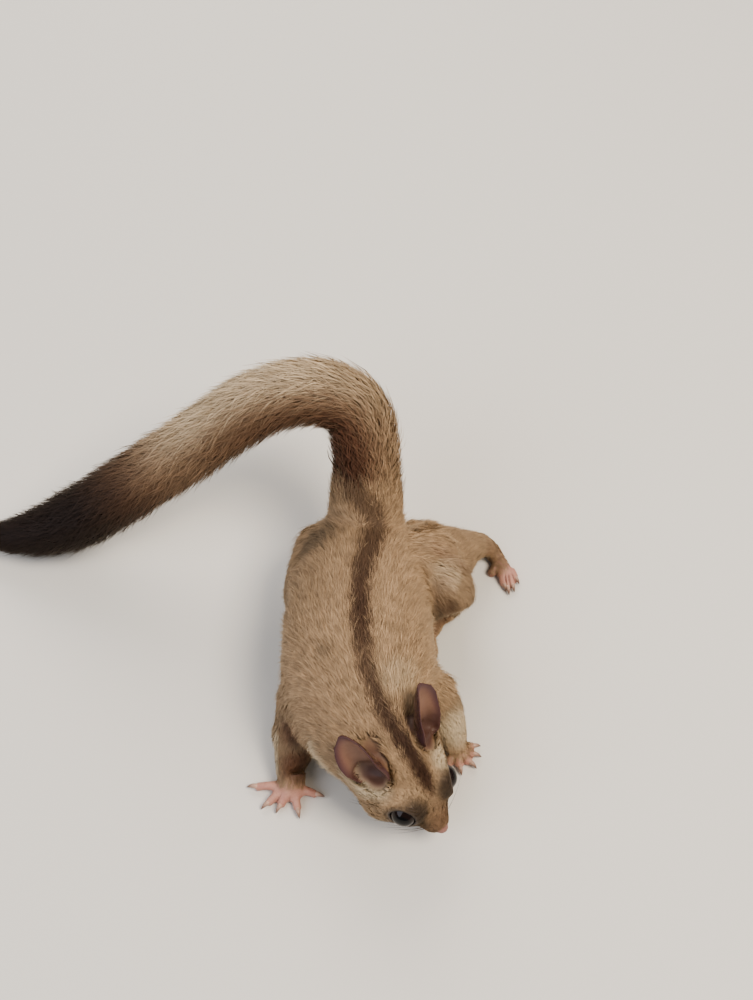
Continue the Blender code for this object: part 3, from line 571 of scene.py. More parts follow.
GROWTHS = {
    Region.TORSO: Growth(2.9, 7.0, 0.34, 14.0),
    Region.NECK: Growth(2.6, 6.4, 0.32, 14.0),
    Region.HEAD: Growth(2.32, 5.6, 0.32, 15.0),  # at the nape; FACE_GROWTH leads up to it
    Region.FORELEG: Growth(1.3, 3.8, 0.27, 14.0),
    Region.HINDLEG: Growth(2.0, 5.2, 0.30, 13.0),
    Region.MEMBRANE: Growth(0.25, 2.6, 0.26, 12.0),
    Region.FOREPAW: Growth(0.05, 1.9, 0.16, 26.0),
    Region.HINDFOOT: Growth(0.05, 1.9, 0.16, 24.0),
    Region.EAR: Growth(0.0, 1.2, 0.11, 10.0),
    Region.NOSE: Growth(0.0, 0.7, 0.12, 34.0),
    Region.TAIL: Growth(0.0, 16.0, 0.50, 0.0),
}
# Depth, length, width and density on the head: the value at the nose tip, what it gains by the
# nape, and the power of the way between them that it gains by
FACE_GROWTH = ((0.12, 2.2, 1.5), (0.7, 4.9, 1.1), (0.14, 0.18, 1.0), (30.0, -15.0, 1.0))
WRIST_REACH = 17.0  # over which the coat of a leg shortens to its wrist or ankle
WRIST_GROWTH = (0.2, 1.5, 0.2)  # depth, length and width there


@dataclass(frozen=True)
class FurFinish:
    """Plush fur of a pale grey to honey coat over a grey underfur, grown and groomed.

    The eye sees soft matt strands with a faint sheen at the edge of the form, darker at the roots.
    """

    base: str = "#AC9173"
    pale: str = "#D3C1A4"
    grey: str = "#7C6A55"
    brown: str = "#6B4936"
    stripe: str = "#483123"
    dark: str = "#1E1412"
    roughness: float = 0.62
    specular: float = 0.28
    sheen: float = 0.25
    sheen_roughness: float = 0.45
    mottle: float = 3.2  # millimetres, from one soft patch of colour to the next
    mottle_shades: tuple[float, float] = (0.8, 1.12)
    tuft_shades: tuple[float, float] = (0.84, 1.14)
    clump_shades: tuple[float, float] = (0.88, 1.1)
    root_shade: float = 0.7  # of a tuft's root beside its upper part


@dataclass(frozen=True)
class SkinFinish:
    """Bare living skin: pink where thin on paws and nose, plum brown on the ears.

    The eye sees a soft satin with fine creases, darkened in the folds by painted shade, and redder in the
    pads.
    """

    pink: str = "#C99C8B"
    pad: str = "#B07A6C"
    plum: str = "#54393A"
    underfur: float = 0.86  # how dark the skin under the coat is beside the fur
    roughness: float = 0.5
    specular: float = 0.35
    blush: float = 2.2  # millimetres, from one redder patch to the next
    crease: float = 0.45  # millimetres, from one crease to the next
    # painted shade: how dark the fine creases of bare skin are painted
    crease_shade: float = 0.82
    nap: float = 0.5  # millimetres, the grain of the underfur
    relief: float = 0.12  # millimetres, the height of creases and nap


@dataclass(frozen=True)
class EyeFinish:
    """Wet cornea over a near-black iris: a clear glossy coat on a very dark brown."""

    iris: str = "#1A0D08"
    pupil: str = "#030303"
    pupil_edge: tuple[float, float] = (0.72, 0.84)  # cosines of the angle from the gaze
    roughness: float = 0.06
    ior: float = 1.376
    specular: float = 0.3
    tears: float = 0.25
    tears_roughness: float = 0.03


@dataclass(frozen=True)
class ClawFinish:
    """Keratin, grown: a translucent horn brown, paler at the root, with a waxy gloss."""

    root: str = "#C9A692"
    tip: str = "#5A4238"
    roughness: float = 0.32


@dataclass(frozen=True)
class WhiskerFinish:
    """A whisker's keratin: dark, smooth and springy, with a fine glint along it."""

    colour: str = "#2A1E1A"
    paler: str = "#5A463C"
    patch: float = 4.0  # millimetres, from one paler stretch to the next
    roughness: float = 0.35


@dataclass(frozen=True)
class FloorFinish:
    """Matt painted board, pale and plain, with a grain too fine to show."""

    colour: str = "#D9D5CE"
    roughness: float = 0.85


class Looks:
    """Makes the materials of the object."""

    def __init__(self, fur: FurFinish, skin: SkinFinish) -> None:
        """Keeps the finishes of fur and skin, which share their colours.

        Args:
            fur: finish of the coat.
            skin: finish of the bare skin.
        """
        self.fur = fur
        self.bare = skin

    def coat_colour(self, tree: bpy.types.NodeTree) -> tuple[bpy.types.NodeSocket, ...]:
        """Colours the coat by its markings and the painted shade among them, the same on the skin and on
        the tufts.

        Args:
            tree: the tree of the material.

        Returns:
            The colour, how brown it is there, and how bare the skin is there.
        """
        first = node(tree, "ShaderNodeAttribute", attribute_name="marks")
        second = node(tree, "ShaderNodeAttribute", attribute_name="marks_and_shade")
        stripe, pale, grey = node(tree, "ShaderNodeSeparateXYZ", {0: first.outputs["Vector"]}).outputs
        brown, dark, bare = node(tree, "ShaderNodeSeparateXYZ", {0: second.outputs["Vector"]}).outputs
        place = node(tree, "ShaderNodeTexCoord").outputs["Object"]
        patches = node(tree, "ShaderNodeTexNoise", {
            "Vector": place, "Scale": 1 / (self.fur.mottle * MM), "Detail": 3.0, "Roughness": 0.6,
        }).outputs["Fac"]
        low, high = self.fur.mottle_shades
        mottle = node(tree, "ShaderNodeMapRange", {
            "Value": patches, "From Min": 0.32, "From Max": 0.68, "To Min": low, "To Max": high,
        }).outputs["Result"]
        colour = node(tree, "ShaderNodeVectorMath", {
            0: linear(self.fur.base)[:3], 1: mottle,
        }, operation="MULTIPLY").outputs[0]
        for factor, code in (
            (grey, self.fur.grey), (pale, self.fur.pale), (brown, self.fur.brown),
            (stripe, self.fur.stripe), (dark, self.fur.dark),
        ):
            colour = node(tree, "ShaderNodeMix", {
                "Factor": factor, "A": colour, "B": linear(code),
            }, data_type="RGBA").outputs["Result"]
        return colour, brown, bare

    def coat(self) -> bpy.types.Material:
        """Makes the material of the tufts: the markings, dark at the roots, each tuft a little its own.

        Returns:
            The material.
        """
        made, tree, shader = blank("plush fur, groomed", {
            "Roughness": self.fur.roughness, "Specular IOR Level": self.fur.specular,
            "Sheen Weight": self.fur.sheen, "Sheen Roughness": self.fur.sheen_roughness,
            "Sheen Tint": linear(self.fur.pale),
        })
        colour = self.coat_colour(tree)[0]
        tuft = node(tree, "ShaderNodeAttribute", attribute_name="tuft")
        along, own, group = node(tree, "ShaderNodeSeparateXYZ", {0: tuft.outputs["Vector"]}).outputs
        shade = node(tree, "ShaderNodeMapRange", {
            "Value": along, "From Min": 0.0, "From Max": 0.6, "To Min": self.fur.root_shade, "To Max": 1.0,
        }, interpolation_type="SMOOTHSTEP").outputs["Result"]
        for value, (low, high) in ((own, self.fur.tuft_shades), (group, self.fur.clump_shades)):
            drawn = node(tree, "ShaderNodeMapRange", {
                "Value": value, "To Min": low, "To Max": high,
            }).outputs["Result"]
            shade = node(tree, "ShaderNodeMath", {0: shade, 1: drawn}, operation="MULTIPLY").outputs[0]
        colour = node(tree, "ShaderNodeVectorMath", {0: colour, 1: shade}, operation="MULTIPLY").outputs[0]
        tree.links.new(colour, shader.inputs["Base Color"])
        return made

    def skin(self) -> bpy.types.Material:
        """Makes the material of the skin: underfur with a fine nap where furred, creased where bare, with
        painted shade in the creases.

        Returns:
            The material.
        """
        made, tree, shader = blank("living skin under fur", {
            "Roughness": self.bare.roughness, "Specular IOR Level": self.bare.specular,
        })
        colour, brown, bare = self.coat_colour(tree)
        under = node(tree, "ShaderNodeVectorMath", {
            0: colour, 1: (self.bare.underfur,) * 3,
        }, operation="MULTIPLY").outputs[0]
        place = node(tree, "ShaderNodeTexCoord").outputs["Object"]
        blush = node(tree, "ShaderNodeTexNoise", {
            "Vector": place, "Scale": 1 / (self.bare.blush * MM), "Detail": 2.0,
        })
        pinks = node(tree, "ShaderNodeMix", {
            "Factor": blush.outputs["Fac"], "A": linear(self.bare.pad), "B": linear(self.bare.pink),
        }, data_type="RGBA").outputs["Result"]
        bared = node(tree, "ShaderNodeMix", {
            "Factor": brown, "A": pinks, "B": linear(self.bare.plum),
        }, data_type="RGBA").outputs["Result"]
        creases = node(tree, "ShaderNodeTexVoronoi", {
            "Vector": place, "Scale": 1 / (self.bare.crease * MM), "Randomness": 0.9,
        }, feature="DISTANCE_TO_EDGE")
        # painted shade: the colour darkens along the fine creases, which the bump also uses as relief
        fold = node(tree, "ShaderNodeMapRange", {
            "Value": creases.outputs["Distance"], "From Max": 0.12,
            "To Min": self.bare.crease_shade, "To Max": 1.0,
        }).outputs["Result"]
        bared = node(tree, "ShaderNodeVectorMath", {0: bared, 1: fold}, operation="MULTIPLY").outputs[0]
        mixed = node(tree, "ShaderNodeMix", {"Factor": bare, "A": under, "B": bared}, data_type="RGBA")
        tree.links.new(mixed.outputs["Result"], shader.inputs["Base Color"])
        nap = node(tree, "ShaderNodeTexNoise", {
            "Vector": place, "Scale": 1 / (self.bare.nap * MM), "Detail": 2.0,
        })
        height = node(tree, "ShaderNodeMix", {
            "Factor": bare, "A": nap.outputs["Fac"], "B": fold,
        }, data_type="FLOAT").outputs["Result"]
        bump = node(tree, "ShaderNodeBump", {
            "Height": height, "Strength": 0.5, "Distance": self.bare.relief * MM,
        })
        tree.links.new(bump.outputs["Normal"], shader.inputs["Normal"])
        return made

    @staticmethod
    def eye(finish: EyeFinish) -> bpy.types.Material:
        """Makes the material of the eyes, whose pupil is where the gaze attribute nears 1.

        Args:
            finish: finish of the eyes.

        Returns:
            The material.
        """
        made, tree, shader = blank("wet cornea over dark iris", {
            "Roughness": finish.roughness, "IOR": finish.ior, "Specular IOR Level": finish.specular,
            "Coat Weight": finish.tears, "Coat Roughness": finish.tears_roughness,
        })
        gaze = node(tree, "ShaderNodeAttribute", attribute_name="gaze").outputs["Fac"]
        low, high = finish.pupil_edge
        pupil = node(tree, "ShaderNodeMapRange", {
            "Value": gaze, "From Min": low, "From Max": high,
        }, interpolation_type="SMOOTHSTEP").outputs["Result"]
        mixed = node(tree, "ShaderNodeMix", {
            "Factor": pupil, "A": linear(finish.iris), "B": linear(finish.pupil),
        }, data_type="RGBA")
        tree.links.new(mixed.outputs["Result"], shader.inputs["Base Color"])
        return made

    @staticmethod
    def claw(finish: ClawFinish) -> bpy.types.Material:
        """Makes the material of the claws, which darkens along each by the attribute of that name.

        Args:
            finish: finish of the claws.

        Returns:
            The material.
        """
        made, tree, shader = blank("claw keratin", {"Roughness": finish.roughness})
        along = node(tree, "ShaderNodeAttribute", attribute_name="along").outputs["Fac"]
        mixed = node(tree, "ShaderNodeMix", {
            "Factor": along, "A": linear(finish.root), "B": linear(finish.tip),
        }, data_type="RGBA")
        tree.links.new(mixed.outputs["Result"], shader.inputs["Base Color"])
        return made

    @staticmethod
    def whisker(finish: WhiskerFinish) -> bpy.types.Material:
        """Makes the material of the whiskers, a little paler in places along each.

        Args:
            finish: finish of the whiskers.

        Returns:
            The material.
        """
        made, tree, shader = blank("whisker keratin", {"Roughness": finish.roughness})
        place = node(tree, "ShaderNodeTexCoord").outputs["Object"]
        patches = node(tree, "ShaderNodeTexNoise", {"Vector": place, "Scale": 1 / (finish.patch * MM)})
        mixed = node(tree, "ShaderNodeMix", {
            "Factor": patches.outputs["Fac"], "A": linear(finish.colour), "B": linear(finish.paler),
        }, data_type="RGBA")
        tree.links.new(mixed.outputs["Result"], shader.inputs["Base Color"])
        return made

    @staticmethod
    def floor(finish: FloorFinish) -> bpy.types.Material:
        """Material of the floor under the object."""
        inputs = {"Base Color": linear(finish.colour), "Roughness": finish.roughness}
        return blank("matt painted board", inputs)[0]


def face_mesh(name: str, points: np.ndarray, faces: np.ndarray) -> bpy.types.Mesh:
    """Makes a mesh of faces that all have as many corners.

    Args:
        name: the mesh's name.
        points: rows of x, y and z in metres.
        faces: rows of vertex numbers.

    Returns:
        The mesh, shaded smooth.
    """
    mesh = bpy.data.meshes.new(name)
    count, corners = faces.shape
    mesh.vertices.add(len(points))
    mesh.vertices.foreach_set("co", np.ascontiguousarray(points, np.float32).ravel())
    mesh.loops.add(count * corners)
    mesh.loops.foreach_set("vertex_index", np.ascontiguousarray(faces, np.int32).ravel())
    mesh.polygons.add(count)
    mesh.polygons.foreach_set("loop_start", np.arange(count, dtype=np.int32) * corners)
    mesh.update(calc_edges=True)
    mesh.shade_smooth()
    return mesh


def set_vectors(mesh: bpy.types.Mesh, name: str, rows: np.ndarray) -> None:
    """Stores a vector for each vertex of a mesh under a name."""
    made = mesh.attributes.new(name, "FLOAT_VECTOR", "POINT")
    made.data.foreach_set("vector", np.ascontiguousarray(rows, np.float32).ravel())


def set_values(mesh: bpy.types.Mesh, name: str, values: np.ndarray) -> None:
    """Stores a value for each vertex of a mesh under a name."""
    made = mesh.attributes.new(name, "FLOAT", "POINT")
    made.data.foreach_set("value", np.ascontiguousarray(values, np.float32))


def show(name: str, mesh: bpy.types.Mesh, material: bpy.types.Material) -> bpy.types.Object:
    """Puts a mesh in the scene as a piece that rides on the body.

    Args:
        name: the piece's name.
        mesh: its mesh, in the frame's metres.
        material: its material.

    Returns:
        The piece.
    """
    mesh.materials.clear()
    mesh.materials.append(material)
    piece = bpy.data.objects.new(name, mesh)
    bpy.context.scene.collection.objects.link(piece)
    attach(piece, BODY)
    LOG.info("%s: %d faces", name, len(mesh.polygons))
    return piece


def tube(line: np.ndarray, radii: np.ndarray, sides: int) -> tuple[np.ndarray, np.ndarray]:
    """A tube of triangles round a line, closed at both ends by a point.

    Args:
        line: rows of x, y and z.
        radii: a radius at each.
        sides: corners round the tube.

    Returns:
        Rows of points and rows of triangles.
    """
    ways = unit(np.gradient(line, axis=0))
    aside = np.tile([0.0, 0.0, 1.0], (len(line), 1))
    aside[np.abs(ways[:, 2]) > 0.95] = (1.0, 0.0, 0.0)
    up = flat(aside, ways)
    side = np.cross(ways, up)
    angle = np.arange(sides) * math.tau / sides
    rings = (
        line[:, None, :]
        + (up[:, None, :] * np.cos(angle)[None, :, None] + side[:, None, :] * np.sin(angle)[None, :, None])
        * np.asarray(radii)[:, None, None]
    )
    ends = line[:1] - ways[:1] * radii[0], line[-1:] + ways[-1:] * radii[-1]
    points = np.vstack([rings.reshape(-1, 3), *ends])
    faces = []
    for i in range(len(line) - 1):
        for k in range(sides):
            a, b = i * sides + k, i * sides + (k + 1) % sides
            faces += [(a, b, b + sides), (a, b + sides, a + sides)]
    start, end, top = len(points) - 2, len(points) - 1, (len(line) - 1) * sides
    for k in range(sides):
        faces += [(start, (k + 1) % sides, k), (end, top + k, top + (k + 1) % sides)]
    return points, np.array(faces)


def joined(parts: list[tuple[np.ndarray, np.ndarray]]) -> tuple[np.ndarray, np.ndarray]:
    """Joins several meshes into one.

    Args:
        parts: the points and faces of each.

    Returns:
        The points and faces of all.
    """
    points, faces, count = [], [], 0
    for some, own in parts:
        points.append(some)
        faces.append(own + count)
        count += len(some)
    return np.vstack(points), np.vstack(faces)


class Surface:
    """The points and four-sided faces of the skin as arrays, with normals and soft averages."""

    def __init__(self, points: np.ndarray, faces: np.ndarray) -> None:
        """Keeps the arrays and works out the edges.

        Args:
            points: rows of x, y and z in millimetres.
            faces: rows of four vertex numbers.
        """
        self.points = points
        self.faces = faces
        pairs = np.sort(np.vstack([faces[:, [i, (i + 1) % 4]] for i in range(4)]), axis=1)
        self.edges = np.unique(pairs, axis=0)
        self.links = np.bincount(self.edges.ravel(), minlength=len(points))

    def average(self, values: np.ndarray) -> np.ndarray:
        """Averages over the neighbours of each vertex.

        Args:
            values: a row or a single value for each vertex.

        Returns:
            The mean of each vertex's neighbours.
        """
        rows = values.reshape(len(values), -1)
        first, second = self.edges.T
        found = np.zeros_like(rows, dtype=float)
        for i in range(rows.shape[1]):
            found[:, i] += np.bincount(first, rows[second, i], len(rows))
            found[:, i] += np.bincount(second, rows[first, i], len(rows))
        return (found / self.links[:, None]).reshape(values.shape)

    def softened(self, values: np.ndarray, rounds: int) -> np.ndarray:
        """Averages values with their neighbours.

        Args:
            values: a row or a single value for each vertex.
            rounds: how often.

        Returns:
            The softer values.
        """
        for _ in range(rounds):
            values = 0.5 * (values + self.average(values))
        return values

    def crosses(self) -> np.ndarray:
        """A normal of each face, twice as long as the face's area."""
        corner = self.points[self.faces]
        return np.cross(corner[:, 2] - corner[:, 0], corner[:, 3] - corner[:, 1])

    def normals(self) -> np.ndarray:
        """Averages the faces' normals by their areas.

        Returns:
            A unit normal at each vertex.
        """
        found = np.zeros_like(self.points)
        for i, values in enumerate(self.crosses().T):
            found[:, i] = np.bincount(self.faces.ravel(), np.repeat(values, 4), len(self.points))
        return unit(found)

    def areas(self) -> np.ndarray:
        """The area of each face."""
        return np.linalg.norm(self.crosses(), axis=1) / 2


@dataclass
class Skin:
    """The skin that stands for all flesh: fused from the solids, softened and set in under the coat."""

    plan: Plan
    head: Head
    tail: Tail
    nodes: dict
    voxel: float = 0.40
    grow: float = 0.25
    rounds: dict = field(default_factory=lambda: {
        Region.TORSO: 30, Region.NECK: 30, Region.FORELEG: 18, Region.HINDLEG: 22, Region.TAIL: 10,
        Region.HEAD: 9, Region.MEMBRANE: 6, Region.FOREPAW: 3, Region.HINDFOOT: 3, Region.EAR: 3,
        Region.NOSE: 2,
    })
    rump_rounds: int = 60  # at the tail's root
    hip_rounds: int = 90
    eye_rounds: int = 3
    muzzle_rounds: int = 5

    def build(self) -> None:
        """Makes the surface and its regions, plans the coat and sets the skin in under it."""
        self.flesh = [name for name in sorted(self.nodes) if not name.startswith("eye")]
        self.surface = self.fused()
        LOG.info("skin: %d points, %.0f square mm", len(self.surface.points), self.surface.areas().sum())
        self.regions = self.sorted_regions()
        self.soften()
        self.fold()
        self.normal = self.surface.normals()
        self.plan_coat()
        outer = self.surface.points.copy()
        self.sink()
        self.normal = self.surface.normals()
        self.finder = finder(self.surface.points)
        self.marks, self.marks_and_shade = Markings(self.head, self.tail).at(
            outer, self.normal, self.regions, self.edge_gap, self.ear_front)
        # painted shade: the grooves between the digits are browned
        self.marks_and_shade[:, 0] = np.maximum(self.marks_and_shade[:, 0], 0.7 * self.groove)

    def hug(self, places: np.ndarray, heights: np.ndarray) -> tuple[np.ndarray, np.ndarray]:
        """Moves places straight out or in to heights over the skin.

        Args:
            places: rows of x, y and z.
            heights: how far over the skin each is to be.

        Returns:
            The new places, and the skin's normal under each.
        """
        number = nearest(self.finder, places)
        normal = self.normal[number]
        over = dot(places - self.surface.points[number], normal)
        return places + normal * (heights - over)[:, None], normal

    def is_in(self, *regions: Region) -> np.ndarray:
        """Which vertices are in one of some regions."""
        return np.isin(self.regions, [region.number for region in regions])

    def fused(self) -> Surface:
        """Grows the solids until they touch, adds the tail's core and fuses all into one skin.

        Returns:
            The skin's surface.
        """
        parts = []
        for name in self.flesh:
            if Region.of(name) is Region.TAIL:
                continue
            mesh = self.nodes[name].data
            mesh.calc_loop_triangles()
            points = np.empty(len(mesh.vertices) * 3)
            mesh.vertices.foreach_get("co", points)
            points = self.plan.millimetres(points.reshape(-1, 3))
            faces = np.empty(len(mesh.loop_triangles) * 3, np.int32)
            mesh.loop_triangles.foreach_get("vertices", faces)
            faces = faces.reshape(-1, 3)
            kept, same = np.unique(np.round(points, 3), axis=0, return_inverse=True)
            faces = same.ravel()[faces]
            corner = kept[faces]
            face = np.cross(corner[:, 1] - corner[:, 0], corner[:, 2] - corner[:, 0])
            normal = np.stack(
                [np.bincount(faces.ravel(), np.repeat(face[:, i], 3), len(kept)) for i in range(3)], axis=1)
            parts.append((kept + unit(normal) * self.grow, faces))
        stops = np.arange(9.0, TAIL_TO - 12.0, 2.0)  # from inside the rump to short of the tip
        parts.append(tube(self.tail.frame(stops)[0], self.tail.skin(stops) + self.grow, 24))
        points, faces = joined(parts)
        mesh = face_mesh("flesh", points * MM, faces)
        helper = bpy.data.objects.new("flesh", mesh)
        bpy.context.scene.collection.objects.link(helper)
        step = helper.modifiers.new("Fuse", "REMESH")
        step.mode = "VOXEL"
        step.voxel_size = self.voxel * MM
        graph = bpy.context.evaluated_depsgraph_get()
        made = helper.evaluated_get(graph).to_mesh()
        points = np.empty(len(made.vertices) * 3)
        made.vertices.foreach_get("co", points)
        faces = np.empty(len(made.polygons) * 4, np.int32)
        made.polygons.foreach_get("vertices", faces)
        bpy.data.objects.remove(helper)
        return Surface(points.reshape(-1, 3) / MM, faces.reshape(-1, 4))

    def sorted_regions(self) -> np.ndarray:
        """Finds the region of each vertex, from the nearest face of the solids.

        Returns:
            The regions' numbers.
        """
        points, faces, owners = [], [], []
        for name in self.flesh:
            mesh = self.nodes[name].data
            base = len(points)
            points += [vertex.co.copy() for vertex in mesh.vertices]
            faces += [[base + i for i in polygon.vertices] for polygon in mesh.polygons]
            owners += [Region.of(name).number] * len(mesh.polygons)
        solids = BVHTree.FromPolygons(points, faces)
        places = self.plan.metres(self.surface.points)
        found = np.array([owners[solids.find_nearest(place)[2]] for place in places.tolist()])
        along, _, gap = self.tail.place(self.surface.points)
        self.tail_along = np.where(gap < 16, along, 0)
        reach = np.where(along < 24, 12.9, 15)  # narrower beside the rump
        found[(along > TAIL_FROM - 3) & (gap < reach)] = Region.TAIL.number
        return found

    def soften(self) -> None:
        """Evens out the facets of the solids, more on the trunk and less where the form is fine."""
        points = self.surface.points
        rounds = np.array([self.rounds[region] for region in Region])[self.regions].astype(float)
        rounds = np.where((self.tail_along > 6) & (self.tail_along < 26), self.rump_rounds, rounds)
        rounds = np.where(gap_to(points, HIP) < HIP_REACH, self.hip_rounds, rounds)
        rounds = self.surface.softened(rounds, 6)
        on_muzzle = self.is_in(Region.HEAD) & (self.head.local(points)[:, 0] < 11)
        rounds = np.where(self.head.eye_gap(points) < 7.6, self.eye_rounds, rounds)
        rounds = np.where(on_muzzle, self.muzzle_rounds, rounds)
        for i in range(int(rounds.max())):
            moved = 0.5 * (self.surface.points + self.surface.average(self.surface.points))
            self.surface.points = np.where((rounds > i)[:, None], moved, self.surface.points)

    def fold(self) -> None:
        """Presses in the creases of the thigh and the flank."""
        for line in CREASES:
            gap, _ = near_line(self.surface.points, smooth_rows(line, 3), 6.0)
            self.surface.points -= self.surface.normals() * (CREASE_DEPTH * ease(4.2, 0.0, gap))[:, None]

    def plan_coat(self) -> None:
        """Works out the depth, length, width, density and lie of the coat at each vertex."""
        points, normal = self.surface.points, self.normal
        table = np.array([
            (growth.depth, growth.length, growth.width, growth.density)
            for growth in (GROWTHS[region] for region in Region)
        ])[self.regions]
        local = self.head.local(points)
        on_head = self.is_in(Region.HEAD)
        back = np.clip(local[:, 0] / HEAD_LENGTH, 0, 1)
        for i, (first, more, power) in enumerate(FACE_GROWTH):
            table[on_head, i] = (first + more * back**power)[on_head]
        for wrist in WRISTS.values():
            share = np.clip(gap_to(points, wrist) / WRIST_REACH, 0, 1)
            on_limb = self.is_in(Region.FORELEG, Region.HINDLEG) & (share < 1)
            for i, least in enumerate(WRIST_GROWTH):
                table[on_limb, i] = (least + (table[:, i] - least) * share)[on_limb]
        table[:, :3] = self.surface.softened(table[:, :3], 24)
        self.eye_gap = self.head.eye_gap(points)
        near_eye = ease(EYE_RADIUS + 1.5, EYE_RADIUS + 6.5, self.eye_gap)
        table[:, 0] *= np.where(on_head, 0.1 + 0.9 * near_eye, 1)
        table[:, 1] *= np.where(on_head, 0.35 + 0.65 * near_eye, 1)
        for side in SIDES.values():
            base = gap_to(points, self.head.at(EAR_BASE[0] - 2, EAR_BASE[1] * side, EAR_BASE[2]))
            table[:, 1] *= 0.45 + 0.55 * ease(4.5, 9.5, base)
        self.depth, self.length, self.width, self.density = table.T.copy()
        short = self.is_in(Region.EAR, Region.NOSE, Region.FOREPAW, Region.HINDFOOT, Region.TAIL)
        self.depth[short] *= 0.25
        self.depth = self.surface.softened(self.depth, 4)
        self.ear_front = np.zeros(len(points))
        for name, side in SIDES.items():
            opening = self.head.way(EAR_OPENING[name], side)
            here = self.is_in(Region.EAR) & (local[:, 1] * side > 0)
            self.ear_front[here] = (normal @ opening)[here]
        self.edge_gap = np.minimum(*[
            near_line(points, smooth_rows(edge, 4))[0] for edge in MEMBRANE_EDGES.values()])
        by_edge = self.is_in(Region.MEMBRANE) * ease(3.5, 0.5, self.edge_gap)
        self.length *= 1 - 0.4 * by_edge
        self.density *= 1 + 0.6 * by_edge
        self.thin_out(points, normal, local)
        self.lay(points, normal)

    def thin_out(self, points: np.ndarray, normal: np.ndarray, local: np.ndarray) -> None:
        """Leaves the eyes, nose, lips, ears' insides, digits and soles bare.

        Args:
            points: rows of x, y and z.
            normal: the surface's normal at each.
            local: the same points in the head's axes.
        """
        on_head, on_ear = self.is_in(Region.HEAD), self.is_in(Region.EAR)
        self.density *= ease(EYE_RADIUS + 0.9, EYE_RADIUS + 1.7, self.eye_gap)
        self.density *= np.where(on_head, ease(0.35, 0.8, self.head.lip_gap(local)), 1)
        self.density *= ease(2.5, 3.5, gap_to(local, NOSE_PAD))
        self.density[self.is_in(Region.TAIL)] = 0  # its long fur is grown by itself
        self.density *= np.where(on_ear, ease(0.25, -0.35, self.ear_front), 1)
        for name, side in SIDES.items():
            beside = local[:, 1] * side > 0
            here = on_ear & beside
            self.density[here] *= ease(0.14, 0.3, self.head.on_ear(points[here], name)[0])
            bowl = self.head.in_bowl(points, name) * beside
            self.density *= np.where(on_head, ease(0.3, 0.02, bowl), 1)
            self.length *= np.where(on_head, 1 - 0.5 * ease(0, 0.3, bowl), 1)
        for name, wrist in WRISTS.items():
            gap = gap_to(points, wrist)
            here = self.is_in(Region.FOREPAW, Region.HINDFOOT) & (gap < 25)
            reach = FUR_ENDS[name]
            close = ease(10.5, 8.5, gap) if name.startswith("hindfoot") else ease(7.5, 5, gap)
            cover = ease(reach, reach * 0.35, gap) * np.maximum(ease(0.0, 0.6, normal[:, 2]), close)
            self.density = np.where(here, self.density * cover, self.density)
        self.density *= ease(0.35, 0.9, points[:, 2])  # not where it touches the floor
        self.density[self.density < 0.8] = 0  # no lone tufts

    def lay(self, points: np.ndarray, normal: np.ndarray) -> None:
        """Works out the lie of the coat from the lines that it runs along.

        Args:
            points: rows of x, y and z.
            normal: the surface's normal at each.
        """
        spots, ways = [], []
        for line in LIES:
            rows = smooth_rows(line, 2)
            spots.append(rows)
            ways.append(unit(np.gradient(rows, axis=0)))
        spots, ways = np.vstack(spots), np.vstack(ways)
        lie = np.zeros_like(points)  # each spot of the lines counts by its nearness
        for spot, way in zip(spots, ways):
            gap = ((points - spot) ** 2).sum(axis=1)
            lie += way[None] / (gap[:, None] + 6.0) ** 2
        lie = unit(lie)
        local = self.head.local(points)
        away = unit(points - self.head.at(-6.0, 0, 1.0))  # on the face it runs back from the nose
        share = (self.is_in(Region.HEAD) * 0.9 * ease(38, 20, local[:, 0]))[:, None]
        lie = lie * (1 - share) + away * share
        for side in SIDES.values():  # round an eye it runs away from it
            from_eye = points - self.head.eye(side)
            near = (ease(11.5, 5.5, np.linalg.norm(from_eye, axis=1)) * 0.7)[:, None]
            lie = lie * (1 - near) + unit(from_eye) * near
        for edge in MEMBRANE_EDGES.values():
            gap, row = near_line(points, smooth_rows(edge, 4))
            near = (ease(9, 1, gap) * self.is_in(Region.MEMBRANE) * 0.75)[:, None]
            lie = lie * (1 - near) + unit(row - points) * near
        for name, side in SIDES.items():
            here = self.is_in(Region.EAR) & (local[:, 1] * side > 0)
            lie[here] = self.head.way(EAR_LEAN[name], side)
        # On the flanks it hangs a little, and it hangs down where the lines run straight out
        flank = (self.is_in(Region.TORSO) * 0.35 * ease(0.75, -0.1, normal[:, 2]))[:, None]
        lie = lie - flank * np.array([0, 0, 1.0])
        on_end = ease(0.4, 0.8, dot(unit(lie), normal))
        stands = (on_end * self.is_in(Region.TORSO, Region.HINDLEG))[:, None]
        lie = unit(lie) * (1 - stands) + np.array([0, 0, -1.0]) * stands
        broad = unit(self.surface.softened(lie, 160))
        on_trunk = self.is_in(Region.TORSO, Region.NECK, Region.HINDLEG)[:, None]
        lie = unit(self.surface.softened(np.where(on_trunk, broad, lie), 20))
        # Short where it would run into the tail's root, and denser and short along a parting
        against = (self.tail_along > 8) * ease(0.65, 0.95, dot(lie, normal))
        self.length *= 1 - 0.65 * against
        self.lie = flat(lie, normal)
        parting = ease(0.985, 0.8, np.linalg.norm(self.surface.softened(self.lie, 14), axis=1))
        self.density *= 1 + 0.9 * parting
        self.length *= 1 - 0.3 * parting

